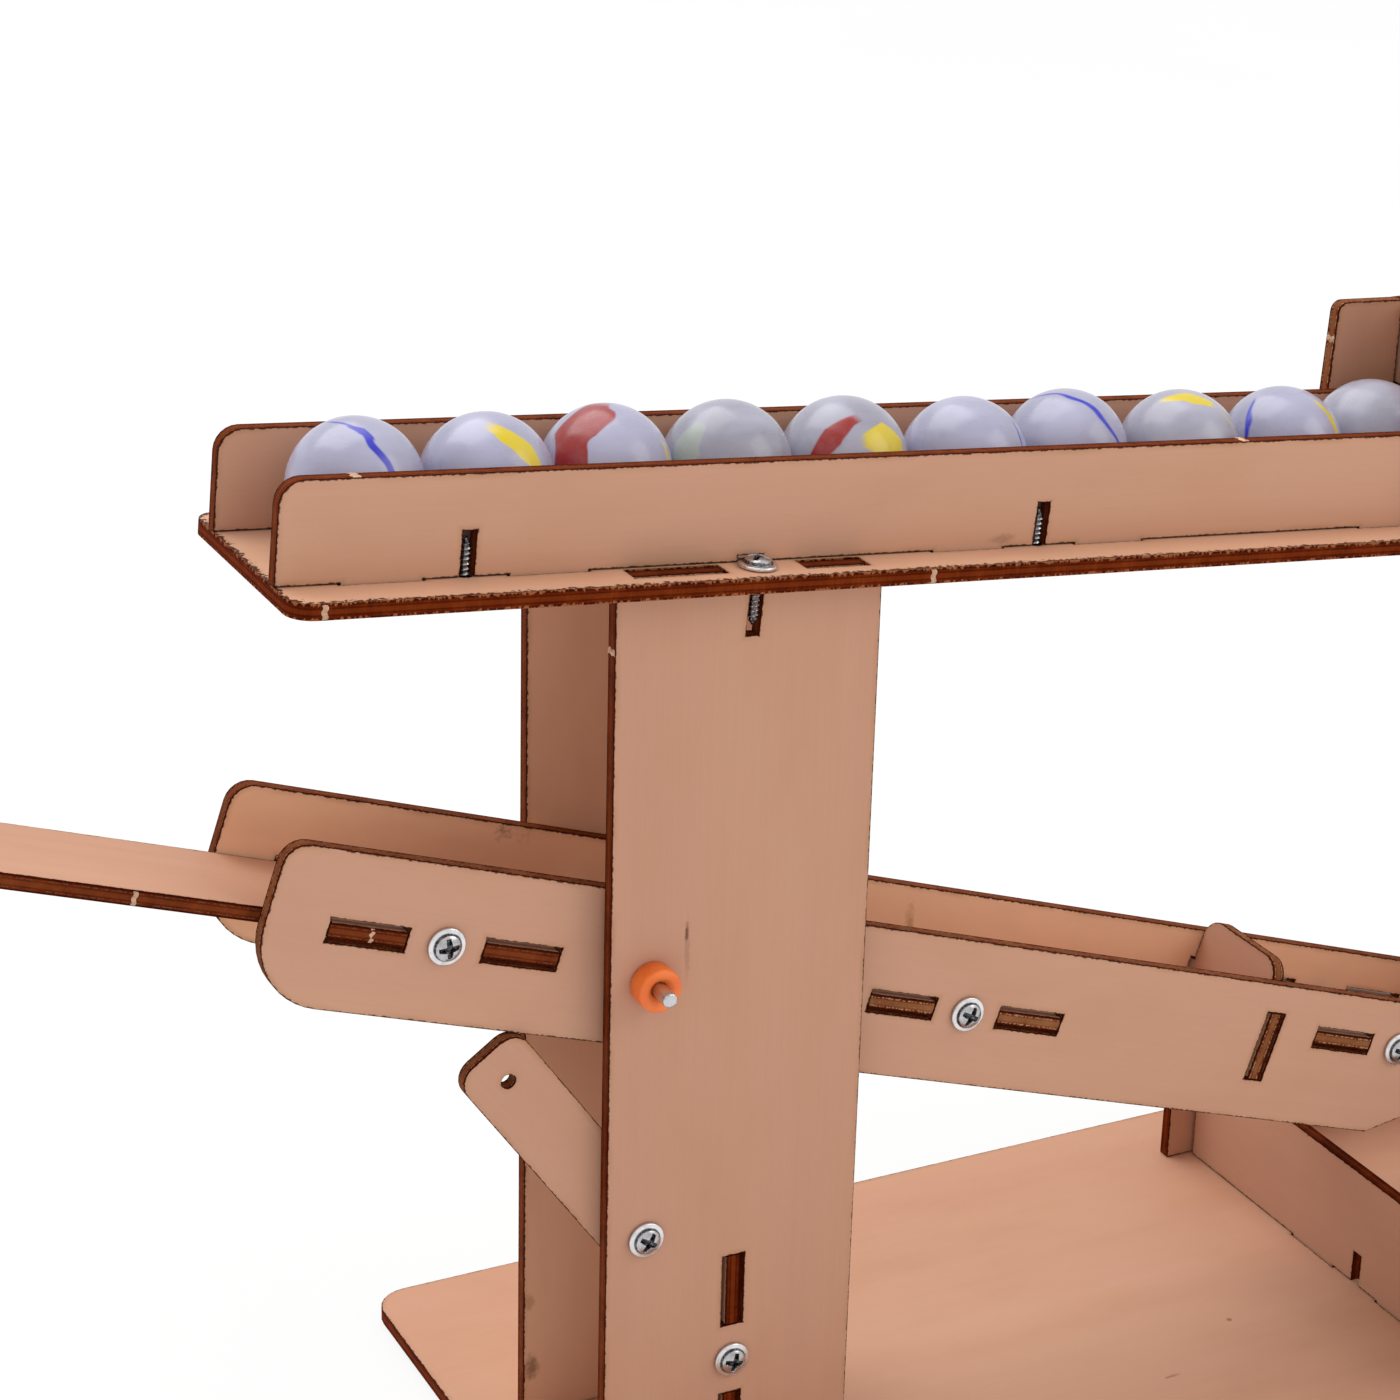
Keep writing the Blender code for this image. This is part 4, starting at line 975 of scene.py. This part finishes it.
def nub(name, spot, outward, along, body, width=0.8, rise=0.28, span=1.7):
    """Torn stub of the bridge that held a panel in its sheet; spot in millimetres."""
    outward = outward.normalized()
    along = along.normalized()
    through = outward.cross(along)
    work = bmesh.new()
    grid = []
    for row in range(NUB_ROWS):
        line = []
        for col in range(NUB_COLS):
            u = (col / (NUB_COLS - 1) - 0.5) * width
            w = (row / (NUB_ROWS - 1) - 0.5) * span
            jag = noise.noise(Vector((col * 1.3, row * 0.9, len(name) * 2.7 + spot[0])))
            edge = 1 - abs(2 * col / (NUB_COLS - 1) - 1) ** 3
            height = rise * edge * (0.65 + 0.7 * jag) * (0.6 + 0.4 * math.sin(row * 2.1))
            slant = 0.18 * math.sin(row * 1.7) * width
            line.append(work.verts.new((Vector(spot) + along * (u + slant) + through * w
                                        + outward * max(NUB_LEAST, height)) * MM))
        grid.append(line)
    floor = [[work.verts.new(vert.co - outward * (rise + NUB_ROOT) * MM) for vert in line]
             for line in grid]
    for row in range(NUB_ROWS - 1):
        for col in range(NUB_COLS - 1):
            work.faces.new((grid[row][col], grid[row][col + 1], grid[row + 1][col + 1],
                            grid[row + 1][col]))
            work.faces.new((floor[row][col], floor[row + 1][col], floor[row + 1][col + 1],
                            floor[row][col + 1]))
    last_row, last_col = NUB_ROWS - 1, NUB_COLS - 1
    rim = ([(0, col) for col in range(NUB_COLS)] + [(row, last_col) for row in range(1, NUB_ROWS)]
           + [(last_row, col) for col in range(last_col - 1, -1, -1)]
           + [(row, 0) for row in range(last_row - 1, 0, -1)])
    for here, there in zip(rim, rim[1:] + rim[:1]):
        work.faces.new((grid[here[0]][here[1]], floor[here[0]][here[1]],
                        floor[there[0]][there[1]], grid[there[0]][there[1]]))
    bmesh.ops.recalc_face_normals(work, faces=work.faces)
    add_piece(name, mesh_of(work, name, BARE), body)


def on_channel(s, y, n):
    """Point at s along the channel, y to the back and n above its floor's underside."""
    return CHANNEL_START + CHANNEL_X * s + Vector((0, y, 0)) + CHANNEL_Z * n


def on_beam(s, y, n):
    """Point at s along the beam from its axle, y to the back and n above the planks' middle."""
    return BEAM_PIVOT + BEAM_X * s + Vector((0, y, 0)) + BEAM_Z * n


def add_nubs():
    """The stubs that stand out of single panels' edges."""
    left = Vector((-1, 0, 0))
    front = Vector((0, -1, 0))
    up = Vector((0, 0, 1))
    floor_edge = dict(outward=front, along=CHANNEL_X, body="frame", width=0.7, rise=0.3)
    rail_top = dict(outward=CHANNEL_Z, along=CHANNEL_X, body="frame", width=1.0, rise=0.22)
    nub("bridge_1", Vector((0, -13, 124.0)), left, up, "frame")
    nub("bridge_2", on_channel(-37.8, -17.6, 1.0), **floor_edge)
    nub("bridge_3", on_channel(41.2, -17.6, 1.0), **floor_edge)
    nub("bridge_4", on_channel(-32.5, -10.5, 14.6), **rail_top)
    nub("bridge_5", on_channel(89.8, -10.5, 14.6), **rail_top)
    nub("bridge_6", on_beam(-67.0, -8.5, 0.0), front, BEAM_X, "beam", 0.6, 0.26)
    nub("bridge_9", on_beam(-37.3, -10.55, 0.0), front, BEAM_X, "beam", 0.7, 0.20, 1.8)
    nub("bridge_7", Vector((121.45, 13, 143.2)), left, up, "frame")
    nub("bridge_8", on_channel(-22.0, 10.5, 14.6), CHANNEL_Z, CHANNEL_X, "frame", 0.9, 0.2)


# ---------------------------------------- the panels
# How wide the char beside each panel's cuts is, how dark its faces are, how much paler they are
# painted, partly as their own tone and partly as painted light, and how far its edges are scraped
# (bare) or frayed, all from 0 to 1.
PANELS = {
    "base_board": dict(char=0.20, pale_and_painted_light=0.16),
    "left_front_upright": dict(char=0.16, tone=0.10, bare=0.1),
    "left_rear_upright": dict(char=0.20, pale_and_painted_light=0.60, bare=0.2),
    "left_brace": dict(char=0.14, tone=0.10),
    "right_front_upright": dict(char=0.14, tone=0.05),
    "right_rear_upright": dict(char=0.20, tone=0.15, bare=0.7),
    "right_brace": dict(char=0.14, tone=0.10),
    "drop_back_panel": dict(char=0.14, tone=0.10),
    "channel_floor": dict(char=0.85, pale_and_painted_light=0.42, frayed=0.75),
    "front_rail": dict(char=0.18, pale_and_painted_light=0.08, bare=0.15),
    "rear_rail": dict(char=0.18, pale_and_painted_light=0.10, bare=0.2),
    "tray_left_fence": dict(char=0.18, tone=0.10),
    "tray_right_fence": dict(char=0.18, pale_and_painted_light=0.20),
    "tray_front_fence": dict(char=0.18, tone=0.10),
    "tray_rear_fence": dict(char=0.18, tone=0.15),
    "beam_front_wall": dict(char=0.20, pale_and_painted_light=0.08, bare=0.55),
    "beam_rear_wall": dict(char=0.18, pale_and_painted_light=1.0, bare=0.35),
    "left_plank": dict(char=0.20, bare=0.15),
    "right_plank": dict(char=0.18, tone=0.05, bare=0.9),
    "bucket_floor": dict(char=0.18, tone=0.05, bare=0.9),
    "bucket_divider": dict(char=0.20, tone=0.05, bare=0.7),
    "counterweight_1": dict(char=0.18, tone=0.10),
    "counterweight_2": dict(char=0.18, tone=0.15),
    "counterweight_3": dict(char=0.18, tone=0.05),
    "stop_arm": dict(char=0.14, tone=0.05, bare=0.6),
    "gate_plate": dict(char=0.16, tone=0.05),
    "gate_pad_1": dict(char=0.16, tone=0.10),
    "gate_pad_2": dict(char=0.16, tone=0.05),
}


# ---------------------------------------- stage
FLOOR_HALF = 6.0
FLOOR_DROP = 0.0002      # keeps the floor off the base board's underside
STUDIO_LIGHT = 0.82      # radiance of the walls around and of the floor


def add_stage():
    """A plain pale floor, lit like the studio round it."""
    mesh = bpy.data.meshes.new("floor")
    corners = ((-1, -1), (1, -1), (1, 1), (-1, 1))
    mesh.from_pydata([(x * FLOOR_HALF, y * FLOOR_HALF, 0) for x, y in corners], [],
                     [(0, 1, 2, 3)])
    tree = Tree("pale_floor")
    where = tree.where()
    cloud = tree.noise(where, 4.0, 2.0, 0.5)
    tree.put(tree.shader.inputs["Base Color"],
             tree.ramp(cloud, [(0.3, (0.14, 0.14, 0.14)), (0.7, (0.16, 0.16, 0.16))]))
    tree.shader.inputs["Roughness"].default_value = 0.8
    tree.shader.inputs["Specular IOR Level"].default_value = 0.1
    tree.shader.inputs["Emission Color"].default_value = (1, 1, 1, 1)
    tree.shader.inputs["Emission Strength"].default_value = STUDIO_LIGHT
    mesh.materials.append(tree.material)
    floor = bpy.data.objects.new("floor", mesh)
    floor.location.z = -FLOOR_DROP
    bpy.context.scene.collection.objects.link(floor)


def add_light(name, place, aim, size, power, colour=(1, 1, 1)):
    """A square soft light at place that shines towards aim."""
    data = bpy.data.lights.new(name, "AREA")
    data.shape = "RECTANGLE"
    data.size = size
    data.size_y = size
    data.energy = power
    data.color = colour
    light = bpy.data.objects.new(name, data)
    bpy.context.scene.collection.objects.link(light)
    direction = Vector(aim) - Vector(place)
    turn = direction.to_track_quat("-Z", "Y").to_matrix().to_4x4()
    light.matrix_world = Matrix.Translation(place) @ turn


def add_lights():
    """Even light from all round, a soft key from the right and a softer one from behind."""
    world = bpy.data.worlds.new("studio")
    bpy.context.scene.world = world
    world.use_nodes = True
    background = world.node_tree.nodes["Background"]
    background.inputs["Color"].default_value = (1.0, 1.0, 1.0, 1)
    background.inputs["Strength"].default_value = STUDIO_LIGHT
    add_light("key", (0.62, -0.45, 0.60), (0.10, 0, 0.08), 0.5, 1.5, (1.0, 0.98, 0.96))
    add_light("top", (-0.10, 0.50, 1.10), (0.02, 0, 0.05), 1.0, 8.0)
    scene = bpy.context.scene
    scene.view_settings.view_transform = "Standard"
    scene.view_settings.look = "None"


# ---------------------------------------- everything
add_camera()
FACE = ply_face()
EDGE = ply_edge()
BARE = ply_bare()
ZINC = zinc()
STEEL = drawn_steel()
ORANGE = orange_plastic()
for panel_name, looks in PANELS.items():
    refined_panel(panel_name, **looks)
add_screws()
add_axle()
add_marbles()
add_nubs()
add_stage()
add_lights()

bpy.context.view_layer.update()
